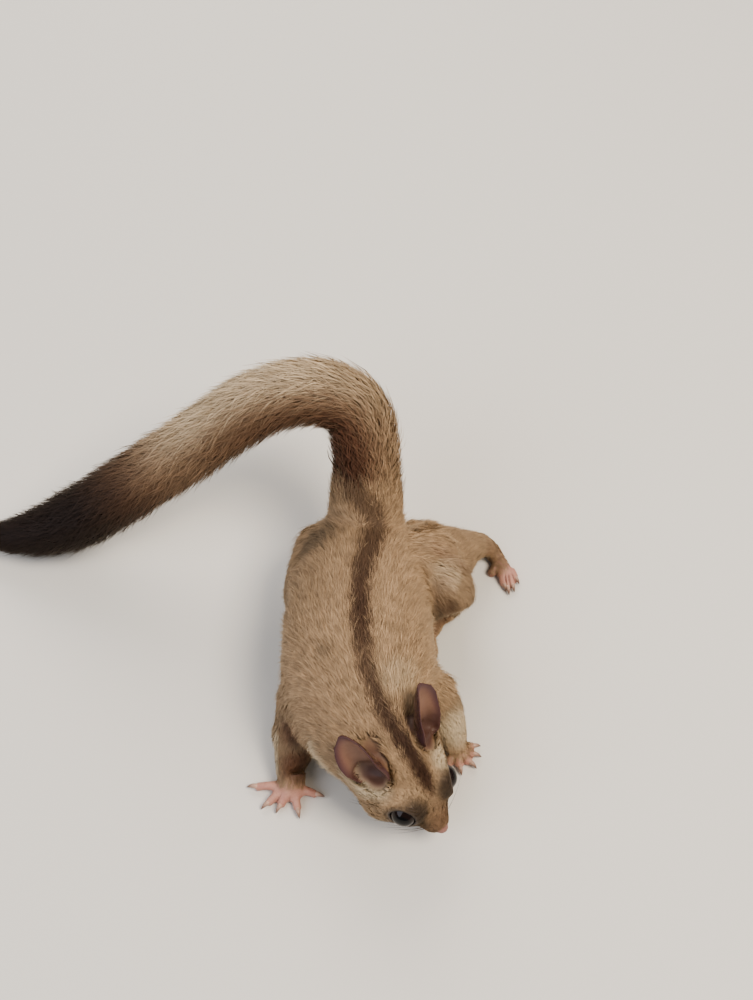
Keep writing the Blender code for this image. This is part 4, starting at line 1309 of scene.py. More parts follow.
    def sink(self) -> None:
        """Sets the skin in under the coat, and keeps it above the floor."""
        points = self.surface.points - self.normal * (self.grow + self.depth)[:, None]
        near = np.flatnonzero(self.tail_along > 7)
        along, angle, gap = self.tail.place(self.surface.points[near])
        share = (ease(7, 12.5, along) * np.maximum(ease(15.5, 12.7, gap), ease(20, 26, along)))[:, None]
        drawn = self.tail.out(along, angle, self.tail.skin(along))
        points[near] = points[near] * (1 - share) + drawn * share
        smooth = self.is_in(Region.TORSO, Region.NECK, Region.FORELEG, Region.HINDLEG, Region.TAIL)
        self.surface.points = np.where(smooth[:, None], self.surface.softened(points, 10), points)
        self.shape_ears()
        self.part_toes()
        self.surface.points[:, 2] = np.maximum(self.surface.points[:, 2], 0.02)

    def part_toes(self) -> None:
        """Presses a groove between digits that lie side by side."""
        here = np.flatnonzero(self.is_in(Region.FOREPAW, Region.HINDFOOT))
        plan = self.surface.points[here] * np.array([1, 1, 0])
        found = [
            near_line(plan, np.array([(x0, y0, 0, 0), (x1, y1, 0, 1)], float), 8.0)
            for digits in DIGITS.values() for x0, y0, x1, y1 in digits]
        gaps = np.stack([gap for gap, _ in found])
        order = gaps.argsort(axis=0)[:2]
        first, second = np.take_along_axis(gaps, order, axis=0)
        share = np.take_along_axis(np.stack([row[:, 3] for _, row in found]), order, axis=0).min(axis=0)
        self.groove = np.zeros(len(self.surface.points))
        self.groove[here] = ease(0.7, 0.1, second - first) * ease(0.02, 0.4, share) * ease(6, 4, second)
        self.surface.points[:, 2] -= 0.9 * self.groove * ease(0.8, 2.0, self.surface.points[:, 2])

    def shape_ears(self) -> None:
        """Curls the ears' rims forward, lays shallow folds inside them and hollows their feet."""
        points = self.surface.points
        local = self.head.local(points)
        for name, side in SIDES.items():
            here = self.is_in(Region.EAR) & (local[:, 1] * side > 0)
            up, out, _ = self.head.on_ear(self.surface.points[here], name)
            rim = np.hypot((up - 0.45) / 0.58, out)
            curl = 1.3 * ease(0.45, 1.0, rim) * ease(0.1, 0.4, up) * (1 + 0.35 * np.sin(7 * up + 2 * side))
            inner = ease(0.1, 0.6, self.ear_front[here])
            folds = 0.16 * np.sin(up * 34) * ease(-0.2, 0.5, out * side) * ease(0.95, 0.6, rim)
            ribs = 0.22 * np.sin(out * 7 + 1.0) * ease(0.6, 0.2, up)
            push = np.zeros(len(points))
            push[here] = curl + inner * (folds + ribs)
            near = np.flatnonzero(self.is_in(Region.HEAD) & (local[:, 1] * side > 0))
            beside = self.surface.points[near]
            ahead = np.clip(self.head.on_ear(beside, name)[2] - 0.6, 0, 6)
            push[near] -= self.head.in_bowl(beside, name) * ahead * 0.85
            way = self.head.way(EAR_OPENING[name], side)
            self.surface.points += way * self.surface.softened(push, 5)[:, None]

    def dress(self, material: bpy.types.Material, unwrap: "Unwrap") -> None:
        """Puts the skin in the scene in place of the flesh.

        Args:
            material: the skin's material.
            unwrap: the map of the skin's shape.
        """
        mesh = face_mesh("skin", self.plan.metres(self.surface.points), self.surface.faces)
        set_vectors(mesh, "marks", self.marks)
        set_vectors(mesh, "marks_and_shade", self.marks_and_shade)
        layer = mesh.uv_layers.new(name=BAKE_MAP)
        layer.data.foreach_set("uv", unwrap.corners().astype(np.float32).ravel())
        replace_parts(show("skin", mesh, material), *self.flesh)


@dataclass
class Markings:
    """Where the coat is striped, pale, grey, brown or dark, and where the skin is bare; the brown and dark
    also carry painted shade in creases, folds, hollows, the nostrils and the mouth.
    """

    head: Head
    tail: Tail

    def at(self, points: np.ndarray, normal: np.ndarray, regions: np.ndarray, edge_gap: np.ndarray,
           ear_front: np.ndarray) -> tuple[np.ndarray, np.ndarray]:
        """Works out the markings, and the painted shade in creases and hollows, at places on the skin.

        Args:
            points: rows of x, y and z.
            normal: the surface's normal at each.
            regions: the region's number at each.
            edge_gap: how far each is from the membranes' free edges.
            ear_front: how far each faces the opening of its ear.

        Returns:
            Rows of stripe, pale and grey, and rows of brown, dark and bare.
        """
        local = self.head.local(points)
        is_in = {region: regions == i for i, region in enumerate(Region)}
        on_head = is_in[Region.HEAD]

        gap, row = near_line(points, smooth_rows(STRIPE, 4))
        stripe = ease(row[:, 3] + 2.1, row[:, 3] - 0.7, gap) * row[:, 4] * (normal[:, 2] > -0.2)
        stripe *= ~is_in[Region.EAR]

        trunk = is_in[Region.TORSO] | is_in[Region.NECK] | is_in[Region.MEMBRANE]
        pale = ease(-0.05, -0.6, normal[:, 2]) * 0.9
        pale += self.patches(points, PALE_PATCHES)
        pale += ease(9, 5, points[:, 2]) * is_in[Region.TORSO] * 0.6
        pale += on_head * ease(-2.5, -7.5, local[:, 2]) * 0.85  # the throat
        pale += is_in[Region.MEMBRANE] * ease(1.8, 0.5, edge_gap) * 0.95
        pale += ease(2.6, 1.2, near_line(points, np.array(FOREARM_FRINGE, float))[0]) * 0.8

        grey = self.patches(points, GREY_PATCHES)
        grey += trunk * ease(0.45, 0.05, normal[:, 2]) * 0.25
        grey += (is_in[Region.FORELEG] | is_in[Region.HINDLEG]) * 0.3

        brown = self.patches(points, BROWN_PATCHES)
        # painted shade: the creases of the thigh and flank are browned
        for line in CREASES:
            brown += 0.34 * ease(3.4, 1.0, near_line(points, smooth_rows(line, 3))[0])
        # painted shade: a brown band inside the pale fringe stands for the shade of the membrane's fold
        brown += is_in[Region.MEMBRANE] * ease(1.6, 2.6, edge_gap) * ease(8, 4, edge_gap) * 0.5
        rim, hollow, bowl = (np.zeros(len(points)) for _ in range(3))
        for name, side in SIDES.items():
            beside = local[:, 1] * side > 0
            here = is_in[Region.EAR] & beside
            up, out, _ = self.head.on_ear(points[here], name)
            rim[here] = ease(0.62, 0.92, np.hypot((up - 0.45) / 0.58, out))
            hollow[here] = ease(0.55, 0.15, up) * (ear_front[here] > 0)
            base = gap_to(local, (EAR_BASE[0] - 1, EAR_BASE[1] * side, EAR_BASE[2]))
            brown += on_head * ease(7.0, 3.5, base) * 0.35
            bowl[on_head] = np.maximum(bowl, self.head.in_bowl(points, name) * beside)[on_head]
        brown += is_in[Region.EAR] * (0.64 + 0.36 * np.maximum(rim, hollow)) + bowl * 0.8
        brown += (on_head | is_in[Region.NOSE]) * ease(15, 4, local[:, 0]) * 0.52

        nostril = np.zeros(len(points))
        dark = on_head * ease(EYE_RADIUS + 2.2, EYE_RADIUS + 0.6, self.head.eye_gap(points)) * 0.96
        # painted shade in the hollows of the ears and in the hollows at their feet
        dark += hollow * 0.3 + bowl * 0.35
        for side in SIDES.values():
            for back, out, up, reach, most in EYE_SMUDGES:
                smudge = gap_to(local, (back, out * side, up))
                dark = np.maximum(dark, on_head * ease(reach, reach * 0.6, smudge) * most)
            hole = gap_to(local, (NOSTRIL_PLACE[0], NOSTRIL_PLACE[1] * side, NOSTRIL_PLACE[2]))
            # painted shade of the nostril openings, which have no holes in the skin
            dark += ease(0.95, 0.45, hole) * 0.9
            nostril = np.maximum(nostril, ease(0.95, 0.5, hole))
        lip = self.head.lip_gap(local)
        # painted shade along the slit of the mouth
        dark += on_head * ease(0.6, 0.25, lip) * 0.6

        paw = is_in[Region.FOREPAW] | is_in[Region.HINDFOOT]
        bare = paw + is_in[Region.EAR] * (0.42 + 0.58 * rim) * (1 - 0.5 * hollow) + bowl * 0.3
        bare = np.maximum(bare, ease(3.9, 2.7, gap_to(local, NOSE_PAD)))
        bare = np.maximum(bare, on_head * ease(0.8, 0.35, lip) * 0.7)
        for name, wrist in WRISTS.items():
            gap = gap_to(points, wrist)
            furred = paw * ease(FUR_ENDS[name] + 2, 3.5, gap)
            close = ease(11, 8.5, gap) if name.startswith("hindfoot") else ease(8, 5, gap)
            furred *= np.maximum(ease(-0.3, 0.5, normal[:, 2]), close)
            bare = np.where(furred > 0, bare * (1 - 0.8 * furred), bare)
        bare *= 1 - nostril

        tail = is_in[Region.TAIL]
        along, angle, _ = self.tail.place(points[tail])
        for array, values in zip((pale, grey, brown, dark), self.tail_marks(along, angle).T):
            array[tail] = values
        return (np.clip(np.stack([stripe, pale, grey], axis=1), 0, 1),
                np.clip(np.stack([brown, dark, bare], axis=1), 0, 1))

    def tail_marks(self, along: np.ndarray, angle: np.ndarray) -> np.ndarray:
        """Works out the tail's markings: pale on the outside of its arch and dark to the tip.

        Args:
            along: millimetres along the line.
            angle: the angle round it.

        Returns:
            Rows of pale, grey, brown and dark.
        """
        spot, _, up, side = self.tail.frame(along)
        radial = up * np.cos(angle)[:, None] + side * np.sin(angle)[:, None]
        outer = dot(radial, unit(spot - np.array(TAIL_ARCH)))
        before_tip = ease(128, 92, along)
        from_root = ease(18, 68, along)
        pale = ease(-0.2, 0.85, outer) * before_tip * (0.08 + 0.58 * from_root)
        brown = ease(0.5, -0.7, outer) * ease(150, 60, along) * 0.75 + ease(98, 136, along) * 0.8
        brown += ease(60, 16, along) * (0.18 + 0.4 * ease(0.9, -0.1, outer)) * ease(5, 16, along)
        grey = ease(0.9, -0.2, outer) * before_tip * (0.25 + 0.35 * from_root)
        dark = ease(100, 152, along) * 0.96
        return np.stack([pale, grey, brown, dark], axis=1)

    @staticmethod
    def patches(points: np.ndarray, table: tuple) -> np.ndarray:
        """Works out round patches with soft edges.

        Args:
            points: rows of x, y and z.
            table: the middle, radius and strength of each patch.

        Returns:
            The strength at each point of the patch that is strongest there.
        """
        found = np.zeros(len(points))
        for x, y, z, radius, strength in table:
            found = np.maximum(found, ease(1.2, 0.4, gap_to(points, (x, y, z)) / radius) * strength)
        return found


class Unwrap:
    """A flat map of the skin: one chart for each region and way that it faces, and one for the tail."""

    def __init__(self, skin: Skin) -> None:
        """Lays the charts out in rows inside the unit square.

        Args:
            skin: the skin, already built.
        """
        faces, points = skin.surface.faces, skin.surface.points
        normal = skin.normal[faces].mean(axis=1)
        axis = np.abs(normal).argmax(axis=1)
        way = axis * 2 + (normal[np.arange(len(faces)), axis] > 0)
        side = (points[faces].mean(axis=1)[:, 0] > 5).astype(int)
        region = skin.regions[faces[:, 0]]
        tail = region == Region.TAIL.number
        self.chart = np.where(tail, -1, (region * 2 + side) * 6 + way)
        self.across = np.array([(1, 2), (0, 2), (0, 1)])
        flats = self.flats(points[faces], axis)
        on_tail = np.unique(faces[tail])
        along, angle = np.zeros(len(points)), np.zeros(len(points))
        along[on_tail], angle[on_tail], _ = skin.tail.place(points[on_tail])
        along, angle = along[faces[tail]], angle[faces[tail]]
        angle = angle + math.tau * np.round((angle[:, :1] - angle) / math.tau)
        flats[tail] = np.stack([along, angle * TAIL_CORE], axis=2)
        self.axis = axis
        self.place_charts(flats)
        self.flats_now = flats

    def flats(self, corners: np.ndarray, axis: np.ndarray) -> np.ndarray:
        """The two coordinates of each corner across its chart's axis."""
        pick = self.across[axis]
        return np.take_along_axis(corners, np.repeat(pick[:, None, :], corners.shape[1], axis=1), axis=2)

    def place_charts(self, flats: np.ndarray) -> None:
        """Finds each chart's box and stacks the boxes in rows, tallest first.

        Args:
            flats: the flat coordinates of each face's corners.
        """
        kinds, inverse = np.unique(self.chart, return_inverse=True)
        low = np.full((len(kinds), 2), np.inf)
        high = np.full((len(kinds), 2), -np.inf)
        for i in range(flats.shape[1]):
            np.minimum.at(low, inverse, flats[:, i])
            np.maximum.at(high, inverse, flats[:, i])
        size = high - low + 2.0
        side = 1.25 * math.sqrt(float((size[:, 0] * size[:, 1]).sum()))
        side = max(side, float(size.max()) + 1)
        start = np.zeros((len(kinds), 2))
        x = y = tall = 0.0
        for i in np.argsort(-size[:, 1]):
            if x + size[i, 0] > side:
                x, y, tall = 0.0, y + tall, 0.0
            start[i] = (x, y)
            x, tall = x + size[i, 0], max(tall, size[i, 1])
        self.scale = 1 / max(side, y + tall)
        self.shift = (start - low + 1.0)[inverse]
        self.tail_shift = (start - low + 1.0)[0]

    def corners(self) -> np.ndarray:
        """The map's place of each corner of each face."""
        return ((self.flats_now + self.shift[:, None, :]) * self.scale).reshape(-1, 2)

    def roots(self, face: np.ndarray, points: np.ndarray) -> np.ndarray:
        """The map's place of roots on faces of the skin."""
        own = self.flats(points[:, None, :], self.axis[face])[:, 0]
        return (own + self.shift[face]) * self.scale

    def tail_roots(self, along: np.ndarray, angle: np.ndarray) -> np.ndarray:
        """The map's place of roots on the tail."""
        return (np.stack([along, angle * TAIL_CORE], axis=1) + self.tail_shift) * self.scale


@dataclass
class Tufts:
    """Tufts of fur as thin tapered blades, with a row of each array for each tuft."""

    rows: np.ndarray  # the middle line from root to tip
    aside: np.ndarray  # for each point of it, the unit way across the blade
    lit: np.ndarray  # for each point of it, the normal that the blade is lit by
    width: np.ndarray
    shade: np.ndarray  # draws from 0 to 1, for the tuft and for its clump
    clump: np.ndarray
    marks: np.ndarray
    marks_and_shade: np.ndarray
    places: np.ndarray  # of the roots on the bake map

    def some(self, chosen: np.ndarray) -> "Tufts":
        """The tufts whose numbers are given."""
        return Tufts(*[getattr(self, part.name)[chosen] for part in fields(self)])

    def mesh(self, name: str, plan: Plan) -> bpy.types.Mesh:
        """Makes the mesh of the blades.

        Args:
            name: the mesh's name.
            plan: the part's plan.

        Returns:
            The mesh, with the attributes and the map that its material reads.
        """
        count, stops = self.rows.shape[:2]
        t = np.arange(stops) / (stops - 1)
        taper = np.interp(t, (0.0, 0.35, 0.7, 1.0), (0.7, 1.0, 0.72, 0.0))[None, :, None]
        half = self.aside * self.width[:, None, None] * taper / 2
        pair = np.stack([self.rows[:, :-1] - half[:, :-1], self.rows[:, :-1] + half[:, :-1]], axis=2)
        points = np.concatenate([pair.reshape(count, -1, 3), self.rows[:, -1:]], axis=1)
        points[..., 2] = np.maximum(points[..., 2], 0.12)
        each = 2 * (stops - 1) + 1
        pattern = []
        for a in range(0, each - 3, 2):
            pattern += [(a, a + 1, a + 3), (a, a + 3, a + 2)]
        pattern.append((each - 3, each - 2, each - 1))
        faces = np.array(pattern)[None] + (np.arange(count) * each)[:, None, None]
        mesh = face_mesh(name, plan.metres(points.reshape(-1, 3)), faces.reshape(-1, 3))
        set_vectors(mesh, "marks", np.repeat(self.marks, each, axis=0))
        set_vectors(mesh, "marks_and_shade", np.repeat(self.marks_and_shade, each, axis=0))
        along = np.append(np.repeat(t[:-1], 2), 1.0)
        set_vectors(mesh, "tuft", np.stack([
            np.tile(along, count), np.repeat(self.shade, each), np.repeat(self.clump, each)], axis=1))
        across = np.append(np.tile([-0.5, 0.5], stops - 1), 0.0)
        spread = np.stack([across, along - 0.5], axis=1) * TUFT_PATCH
        places = (self.places[:, None, :] + spread[None]).reshape(-1, 2)
        layer = mesh.uv_layers.new(name=BAKE_MAP)
        layer.data.foreach_set("uv", places[faces.ravel()].astype(np.float32).ravel())
        lit = np.concatenate([np.repeat(self.lit[:, :-1], 2, axis=1), self.lit[:, -1:]], axis=1)
        mesh.normals_split_custom_set_from_vertices(unit(lit.reshape(-1, 3)).astype(np.float32))
        return mesh


@dataclass
class Coat:
    """The coat: short plush tufts over the body, and long loose ones round the tail.

    A clump's tufts lean together. A wild tuft is longer and finer and stands off the rest.
    """

    plan: Plan
    skin: Skin
    unwrap: Unwrap
    tail: Tail
    material: bpy.types.Material
    draw: np.random.Generator
    stops: int = 3  # points along a blade's middle line
    clump_size: int = 13  # tufts
    pull: float = 0.42  # how far the tips of a clump close up
    lit_by_form: float = 0.62  # how far a blade is lit as the form under it
    roll: float = 0.55  # spread of the angle that a blade turns about its own line
    swing: tuple[float, float] = (0.16, 0.15)  # spread of the angle off the lie, of clump and tuft
    bend: float = 0.09  # spread of the sideways bend, as a share of the length
    wild: float = 0.05  # share of tufts
    tail_tufts: int = 77_000
    tail_stops: int = 4
    tail_clump_size: int = 26
    tail_slots: int = 7  # places for a clump round the tail
    tail_sway: float = 0.26  # spread of the angle round the tail that a tuft drifts by
    tail_wild: float = 0.08
    tail_under: float = 0.35  # share of tufts that stay short and fill the coat

    def build(self) -> None:
        """Grows the coat, region by region."""
        groups = {
            "coat_trunk": (Region.TORSO,),
            "coat_neck": (Region.NECK,),
            "coat_head": (Region.HEAD, Region.EAR, Region.NOSE),
            "coat_limbs": (
                Region.FORELEG, Region.HINDLEG, Region.FOREPAW, Region.HINDFOOT, Region.MEMBRANE,
            ),
        }
        for name, regions in groups.items():
            self.grow(name, regions)
        self.grow_tail()

    def grow(self, name: str, regions: tuple[Region, ...]) -> None:
        """Grows short fur on some regions.

        Args:
            name: how the pieces' names start.
            regions: where it grows.
        """
        skin, surface = self.skin, self.skin.surface
        faces = surface.faces
        inside = np.isin(skin.regions[faces[:, 0]], [region.number for region in regions])
        weight = surface.areas() * skin.density[faces].mean(axis=1) * inside
        total = weight.sum()
        count = int(total)
        steps = (np.arange(count) + self.draw.random(count)) * total / count
        face = np.minimum(np.searchsorted(np.cumsum(weight), steps), len(faces) - 1)
        u, v = self.draw.random(count), self.draw.random(count)
        share = np.stack([(1 - u) * (1 - v), u * (1 - v), u * v, (1 - u) * v], axis=1)
        corner = faces[face]

        def blended(values: np.ndarray) -> np.ndarray:
            """Values of the skin at the roots."""
            return (values[corner].reshape(count, 4, -1) * share[:, :, None]).sum(axis=1)

        roots = blended(surface.points)
        normal = unit(blended(skin.normal))
        lie = flat(blended(skin.lie), normal)
        length, depth, width = (blended(values)[:, 0] for values in (skin.length, skin.depth, skin.width))
        centre, number = self.clumps(roots)
        clump = self.draw.random(number.max() + 1)[number]
        swing = self.draw.normal(0, self.swing[0], number.max() + 1)[number]
        swing = swing + self.draw.normal(0, self.swing[1], count)
        lie = unit(lie * np.cos(swing)[:, None] + np.cross(normal, lie) * np.sin(swing)[:, None])
        aside = np.cross(lie, normal)

        wild = self.draw.random(count) < self.wild
        length = length * self.draw.uniform(0.8, 1.15, count) * np.where(wild, 1.25, 1)
        rise = (depth * self.draw.uniform(0.75, 1.12, count) + 0.12 * length) * np.where(wild, 1.3, 1)
        rise = np.minimum(rise, 0.8 * length)
        run = np.sqrt(length**2 - rise**2)
        bend = self.draw.normal(0, self.bend, count) * length
        lean = flat(centre - roots + 1e-6, normal) * np.linalg.norm(centre - roots, axis=1)[:, None]
        roll = self.draw.normal(0, self.roll, count)
        across = aside * np.cos(roll)[:, None] + normal * np.sin(roll)[:, None]
        own = unit(normal * np.cos(roll)[:, None] - aside * np.sin(roll)[:, None])
        rows = [roots - normal * (0.25 + 0.1 * width)[:, None]]
        lit = [normal * self.lit_by_form + own * (1 - self.lit_by_form) - lie * 0.25]
        for t in np.arange(1, self.stops) / (self.stops - 1):
            place = roots + lie * (run * t**1.2)[:, None] + aside * (bend * t**2)[:, None]
            place, form = skin.hug(place + lean * self.pull * t, rise * (1 - (1 - t) ** 2))
            rows.append(place)
            lit.append(form * self.lit_by_form + own * (1 - self.lit_by_form) - lie * 0.25 * (1 - t))
        rows, lit = np.stack(rows, axis=1), np.stack(lit, axis=1)
        kept = dot(form, normal) > (0.3 if name == "coat_head" else -0.3)  # none bends over an edge
        width = width * self.draw.uniform(0.75, 1.25, count) * np.where(wild, 0.6, 1)
        shade = self.draw.random(count)
        places = self.unwrap.roots(face, roots)
        order = np.argsort(roots @ np.array([0.15, 1.0, 0.1]))  # from the head back
        tufts = Tufts(
            rows, np.repeat(across[:, None], self.stops, axis=1), lit, width, shade, clump,
            blended(skin.marks), blended(skin.marks_and_shade), places)
        self.lay_out(name, tufts, order[kept[order]])

    def lay_out(self, name: str, tufts: Tufts, order: np.ndarray) -> None:
        """Puts tufts in the scene, in as many pieces as they need.

        Args:
            name: how the pieces' names start.
            tufts: the tufts.
            order: the numbers of those that are shown, piece after piece.
        """
        pieces = math.ceil(len(order) / (MOST_FACES // (2 * tufts.rows.shape[1] - 3)))
        for i, chosen in enumerate(np.array_split(order, pieces)):
            title = name if pieces == 1 else f"{name}_{i + 1}"
            show(title, tufts.some(chosen).mesh(title, self.plan), self.material)

    def clumps(self, roots: np.ndarray) -> tuple[np.ndarray, np.ndarray]:
        """Groups the tufts that lean together.

        Args:
            roots: where the tufts start.

        Returns:
            The middle of each tuft's group, and the group's number.
        """
        chosen = self.draw.choice(len(roots), max(1, len(roots) // self.clump_size), replace=False)
        number = nearest(finder(roots[chosen]), roots)
        return roots[chosen][number], number

    def grow_tail(self) -> None:
        """Grows the long fur of the tail, which runs back along it and stands out in loose wisps."""
        count, groups = self.tail_tufts, self.tail_tufts // self.tail_clump_size
        first, last = TAIL_FROM - 8.0, TAIL_TO - 15.0
        start = first + (last - first) * (np.arange(count) + self.draw.random(count)) / count
        angle = self.draw.uniform(-math.pi, math.pi, count)
        self.draw.integers(0, groups, count)  # put to no use, but the draws after it depend on it
        along_group = self.draw.uniform(first, last, groups)
        order = np.argsort(along_group)
        group = order[np.clip(np.searchsorted(along_group[order], start), 0, groups - 1)]
        middle = self.draw.uniform(-math.pi, math.pi, groups)[group]
        slot = math.tau / self.tail_slots
        number = np.round((angle - middle) / slot)
        turn = middle + slot * number
        clump = (np.sin(group * 12.9898 + number * 78.233) * 43758.5453) % 1.0  # scatters the clumps

        long = ease(TAIL_FROM - 8, TAIL_FROM + 26, start)
        length = (7.5 + 9.0 * long) * self.draw.uniform(0.7, 1.2, count)
        end = np.minimum(start + length, TAIL_TO + self.draw.uniform(-3.0, 1.5, count))
        inner = self.tail.skin(start) - 0.35
        wild = self.draw.random(count) < self.tail_wild
        under = self.draw.random(count) < self.tail_under
        end = np.where(under, start + 0.6 * (end - start), end)
        outer = self.tail.reach(end) * self.draw.uniform(0.62, 1.1, count) * np.where(wild, 1.12, 1)
        outer = np.maximum(outer, inner + 0.6)
        sway = self.draw.normal(0, self.tail_sway, count)
        roll = self.draw.normal(0, self.roll, count)
        rows, across, lit = [], [], []
        for share in np.arange(self.tail_stops) / (self.tail_stops - 1):
            distance = start + (end - start) * share
            radius = inner + (outer - inner) * (1 - (1 - share) ** 1.5)
            here = angle + (turn - angle) * 0.4 * share + sway * share**2
            rows.append(self.tail.out(distance, here, radius))
            _, way, up, side = self.tail.frame(distance)
            radial = up * np.cos(here)[:, None] + side * np.sin(here)[:, None]
            aside = np.cross(way, radial)
            across.append(aside * np.cos(roll)[:, None] + radial * np.sin(roll)[:, None])
            own = radial * np.cos(roll)[:, None] - aside * np.sin(roll)[:, None]
            lit.append(radial * self.lit_by_form + own * (1 - self.lit_by_form) - way * 0.2 * (1 - share))
        rows, across, lit = (np.stack(values, axis=1) for values in (rows, across, lit))
        values = Markings(self.skin.head, self.tail).tail_marks(start + 0.3 * (end - start), angle)
        marks = np.column_stack([self.on_rump(start, angle), values[:, :2]])
        marks_and_shade = np.column_stack([values[:, 2:], np.zeros(count)])
        width = (0.32 + 0.08 * long) * self.draw.uniform(0.6, 1.3, count)
        tufts = Tufts(
            rows, across, lit, width, self.draw.random(count), clump, marks, marks_and_shade,
            self.unwrap.tail_roots(start, angle))
        self.lay_out("coat_tail", tufts, np.argsort(start))

    def on_rump(self, start: np.ndarray, angle: np.ndarray) -> np.ndarray:
        """Runs the dark stripe of the back on to the tail's upper side.

        Args:
            start: how far along the tail each tuft starts.
            angle: its angle round the tail.

        Returns:
            How dark the stripe is at each.
        """
        roots = self.tail.out(start, angle, self.tail.skin(start) + 3.0)
        gap, row = near_line(roots, smooth_rows(STRIPE, 4))
        return ease(row[:, 3] + 2.2, row[:, 3] - 0.3, gap) * row[:, 4]


@dataclass
class Eyes:
    """The two eyes, each a smooth ball with its gaze along the axis of its socket."""

    plan: Plan
    head: Head
    bulge: float = 0.22  # millimetres that the cornea stands out

    def build(self, material: bpy.types.Material) -> None:
        """Makes both eyes in place of their nodes.

        Args:
            material: the eyes' material.
        """
        for name, side in SIDES.items():
            axis = self.head.way(EYE_AXIS, side)
            points, faces = self.ball(axis)
            gaze = unit(points) @ axis
            radius = (EYE_RADIUS + self.bulge * ease(0.6, 0.95, gaze))[:, None]
            points = self.head.eye(side) + unit(points) * radius
            mesh = face_mesh(f"eyeball_{name}", self.plan.metres(points), faces)
            set_values(mesh, "gaze", np.clip(gaze, 0, 1))
            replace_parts(show(f"eyeball_{name}", mesh, material), f"eye_{name}")

    @staticmethod
    def ball(axis: np.ndarray, rings: int = 36, sides: int = 56) -> tuple[np.ndarray, np.ndarray]:
        """Makes a ball of radius 1 whose poles lie on an axis.

        Args:
            axis: the unit direction of the first pole.
            rings: rings of points between the poles.
            sides: points in each.

        Returns:
            Rows of points and rows of triangles.
        """
        angle = np.linspace(0, math.pi, rings + 2)[1:-1]
        turn = Vector(axis).to_track_quat("X", "Z").to_matrix()
        line = np.array([turn @ Vector((math.cos(a), 0, 0)) for a in angle])
        points, faces = tube(line, np.sin(angle), sides)
        points[-2:] = np.array([axis, -axis])
        return points, faces


@dataclass
class Claws:
    """The claws at the ends of the digits, on all but the great toes."""

    plan: Plan
    sides: int = 8

    def build(self, material: bpy.types.Material) -> None:
        """Makes the claws of each paw as one piece.

        Args:
            material: the claws' material.
        """
        for paw, digits in DIGITS.items():
            clawed = digits[:-1] if paw.startswith("hindfoot") else digits
            parts, tips = [], []
            for x0, y0, x1, y1 in clawed:
                reach = math.hypot(x1 - x0, y1 - y0)
                way = np.array([x1 - x0, y1 - y0, 0]) / reach
                rows = smooth_rows(CLAW, 4)
                line = np.array([x0, y0, 0]) + way * (reach + rows[:, :1])
                line = line + np.array([0, 0, 1]) * rows[:, 1:2]
                parts.append(tube(line, rows[:, 2], self.sides))
                share = np.repeat(np.linspace(0, 1, len(rows)), self.sides)
                tips.append(np.concatenate([share, [0, 1]]))
            points, faces = joined(parts)
            points[:, 2] = np.maximum(points[:, 2], 0.05)
            mesh = face_mesh(f"claws_{paw}", self.plan.metres(points), faces)
            set_values(mesh, "along", np.concatenate(tips))
            show(f"claws_{paw}", mesh, material)


@dataclass
class Whiskers:
    """Whiskers of the muzzle, brows and cheeks, as fine tapered tubes."""

    plan: Plan
    head: Head
    draw: np.random.Generator
    sides: int = 5
    root: float = 0.075  # radius, which narrows to the tip
    stray: float = 0.06  # spread of the direction

    def build(self, material: bpy.types.Material) -> None:
        """Makes all whiskers as one piece.

        Args:
            material: the whiskers' material.
        """
        parts = []
        for side in SIDES.values():
            for row in range(4):
                for k in range(4 - row // 2):
                    start = self.head.at(4.2 + 1.5 * k, side * (3.0 + 0.5 * k), 0.4 - 1.0 * row)
                    way = (-0.35 - 0.22 * k, 1.0, 0.34 - 0.24 * row)
                    parts.append(self.hair(start, way, side, 13 + 2.4 * k - 0.8 * row))
            for k in range(3):
                brow = self.head.at(13.0 + k, side * 5.6, 8.4)
                parts.append(self.hair(brow, (-0.5, 0.5 + 0.1 * k, 0.85), side, 10))
            for k in range(2):
                cheek = self.head.at(20.0 + k, side * 13.2, -3.5)
                parts.append(self.hair(cheek, (-0.7, 0.8, -0.1), side, 9))
        points, faces = joined(parts)
        points[:, 2] = np.maximum(points[:, 2], 0.1)
        show("whiskers", face_mesh("whiskers", self.plan.metres(points), faces), material)

    def hair(
        self, start: np.ndarray, way: tuple, side: int, length: float,
    ) -> tuple[np.ndarray, np.ndarray]:
        """Makes one whisker, which bends back and down along its length.

        Args:
            start: where it leaves the skin.
            way: its direction there: forward, outward and up.
            side: the side of the head that it grows on.
            length: its length.

        Returns:
            Rows of points and rows of triangles.
        """
        way = self.head.way(way, side) + self.draw.normal(0, self.stray, 3)
        t = np.linspace(0, 1, 9)[:, None]
        droop = -self.head.axes[0] * 0.28 + np.array([0, 0, -0.12])
        line = start - way * 0.8 + (way * t + droop * t**2.2) * length
        return tube(line, self.root * (1 - 0.85 * t[:, 0]), self.sides)


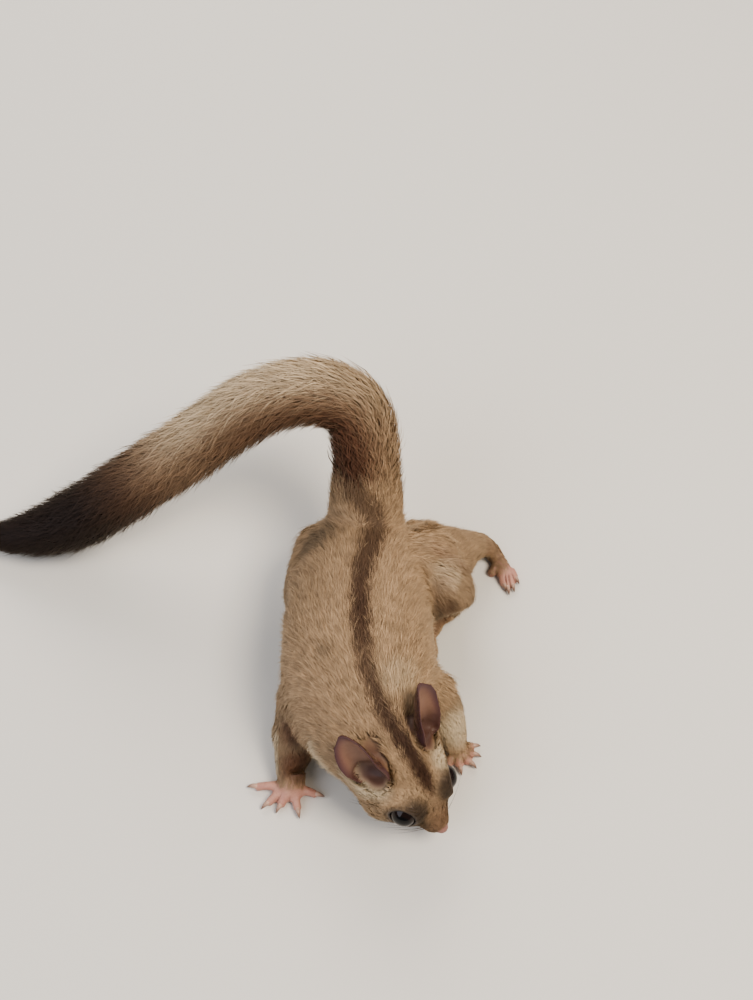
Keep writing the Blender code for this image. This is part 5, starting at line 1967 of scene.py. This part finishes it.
@dataclass
class Studio:
    """The floor, the soft lights and the camera at the photograph's angle."""

    plan: Plan
    eye_point: tuple[float, float, float] = (0.0, -190.0, 395.0)  # the camera's place in the plan
    pitch: float = 56.0
    roll: float = 2.4
    lens: float = 43.2
    sky: str = "#E6E9EE"
    sky_strength: float = 0.42
    half_floor: float = 3.0  # metres

    def build(self) -> None:
        """Sets up the floor, lights, world and camera."""
        self.floor()
        middle = Vector(self.plan.metres(np.array([0.0, 0.0, 20.0])))
        self.lamp("key", middle, (0.55, -0.25, 1.1), 0.55, 15.0, "#FFF3E2")
        self.lamp("fill", middle, (-0.8, -0.5, 0.8), 0.9, 6.6, "#EEF3FF")
        self.lamp("back", middle, (-0.2, 0.9, 0.7), 0.7, 6.5, "#FFF8F0")
        world = bpy.data.worlds.new("studio")
        world.use_nodes = True
        background = world.node_tree.nodes["Background"].inputs
        background["Color"].default_value = linear(self.sky)
        background["Strength"].default_value = self.sky_strength
        bpy.context.scene.world = world
        bpy.context.scene.view_settings.look = "AgX - Medium High Contrast"
        self.camera()

    def floor(self) -> None:
        """Lays the plain floor that the object rests on."""
        half = self.half_floor
        points = np.array([(-half, -half, 0), (half, -half, 0), (half, half, 0), (-half, half, 0)])
        mesh = face_mesh("floor", points, np.array([[0, 1, 2, 3]]))
        mesh.materials.append(Looks.floor(FloorFinish()))
        board = bpy.data.objects.new("floor", mesh)
        bpy.context.scene.collection.objects.link(board)

    @staticmethod
    def lamp(name: str, middle: Vector, place: tuple, size: float, power: float, colour: str) -> None:
        """Adds a square soft light that faces the object.

        Args:
            name: the light's name.
            middle: what it faces, in metres.
            place: where it is from there.
            size: the length of its side.
            power: its power in watts.
            colour: its sRGB hex colour.
        """
        light = bpy.data.lights.new(name, "AREA")
        light.shape, light.size = "SQUARE", size
        light.energy, light.color = power, linear(colour)[:3]
        lamp = bpy.data.objects.new(name, light)
        lamp.location = middle + Vector(place)
        lamp.rotation_mode = "QUATERNION"
        lamp.rotation_quaternion = (-Vector(place)).to_track_quat("-Z", "Y")
        bpy.context.scene.collection.objects.link(lamp)

    def camera(self) -> None:
        """Places the camera as the photograph was taken."""
        pitch, roll = math.radians(self.pitch), math.radians(self.roll)
        ahead = Vector((0, math.cos(pitch), -math.sin(pitch)))
        right = Vector((1, 0, 0))
        up = right.cross(ahead)
        axis_x = right * math.cos(roll) + up * math.sin(roll)
        axis_y = up * math.cos(roll) - right * math.sin(roll)
        data = bpy.data.cameras.new("photo_view")
        data.lens, data.sensor_width, data.sensor_fit = self.lens, 36.0, "AUTO"
        data.clip_start = 0.01
        view = bpy.data.objects.new("photo_view", data)
        turn = Matrix((axis_x, axis_y, -ahead)).transposed().to_4x4()
        view.matrix_world = Matrix.Translation(self.plan.metres(np.array(self.eye_point))) @ turn
        bpy.context.scene.collection.objects.link(view)
        bpy.context.scene.camera = view


def main() -> None:
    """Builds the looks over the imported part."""
    logging.basicConfig(level=logging.INFO, format="%(relativeCreated)6d ms %(message)s")
    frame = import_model()
    head, tail = Head(), Tail()
    plan = Plan.from_eye(head)
    looks = Looks(FurFinish(), SkinFinish())
    Studio(plan).build()

    skin = Skin(plan, head, tail, frame["nodes"])
    skin.build()
    unwrap = Unwrap(skin)
    skin.dress(looks.skin(), unwrap)
    Coat(plan, skin, unwrap, tail, looks.coat(), np.random.default_rng(SEED)).build()
    Eyes(plan, head).build(looks.eye(EyeFinish()))
    Claws(plan).build(looks.claw(ClawFinish()))
    Whiskers(plan, head, np.random.default_rng(SEED + 1)).build(looks.whisker(WhiskerFinish()))


if __name__ == "__main__":
    main()
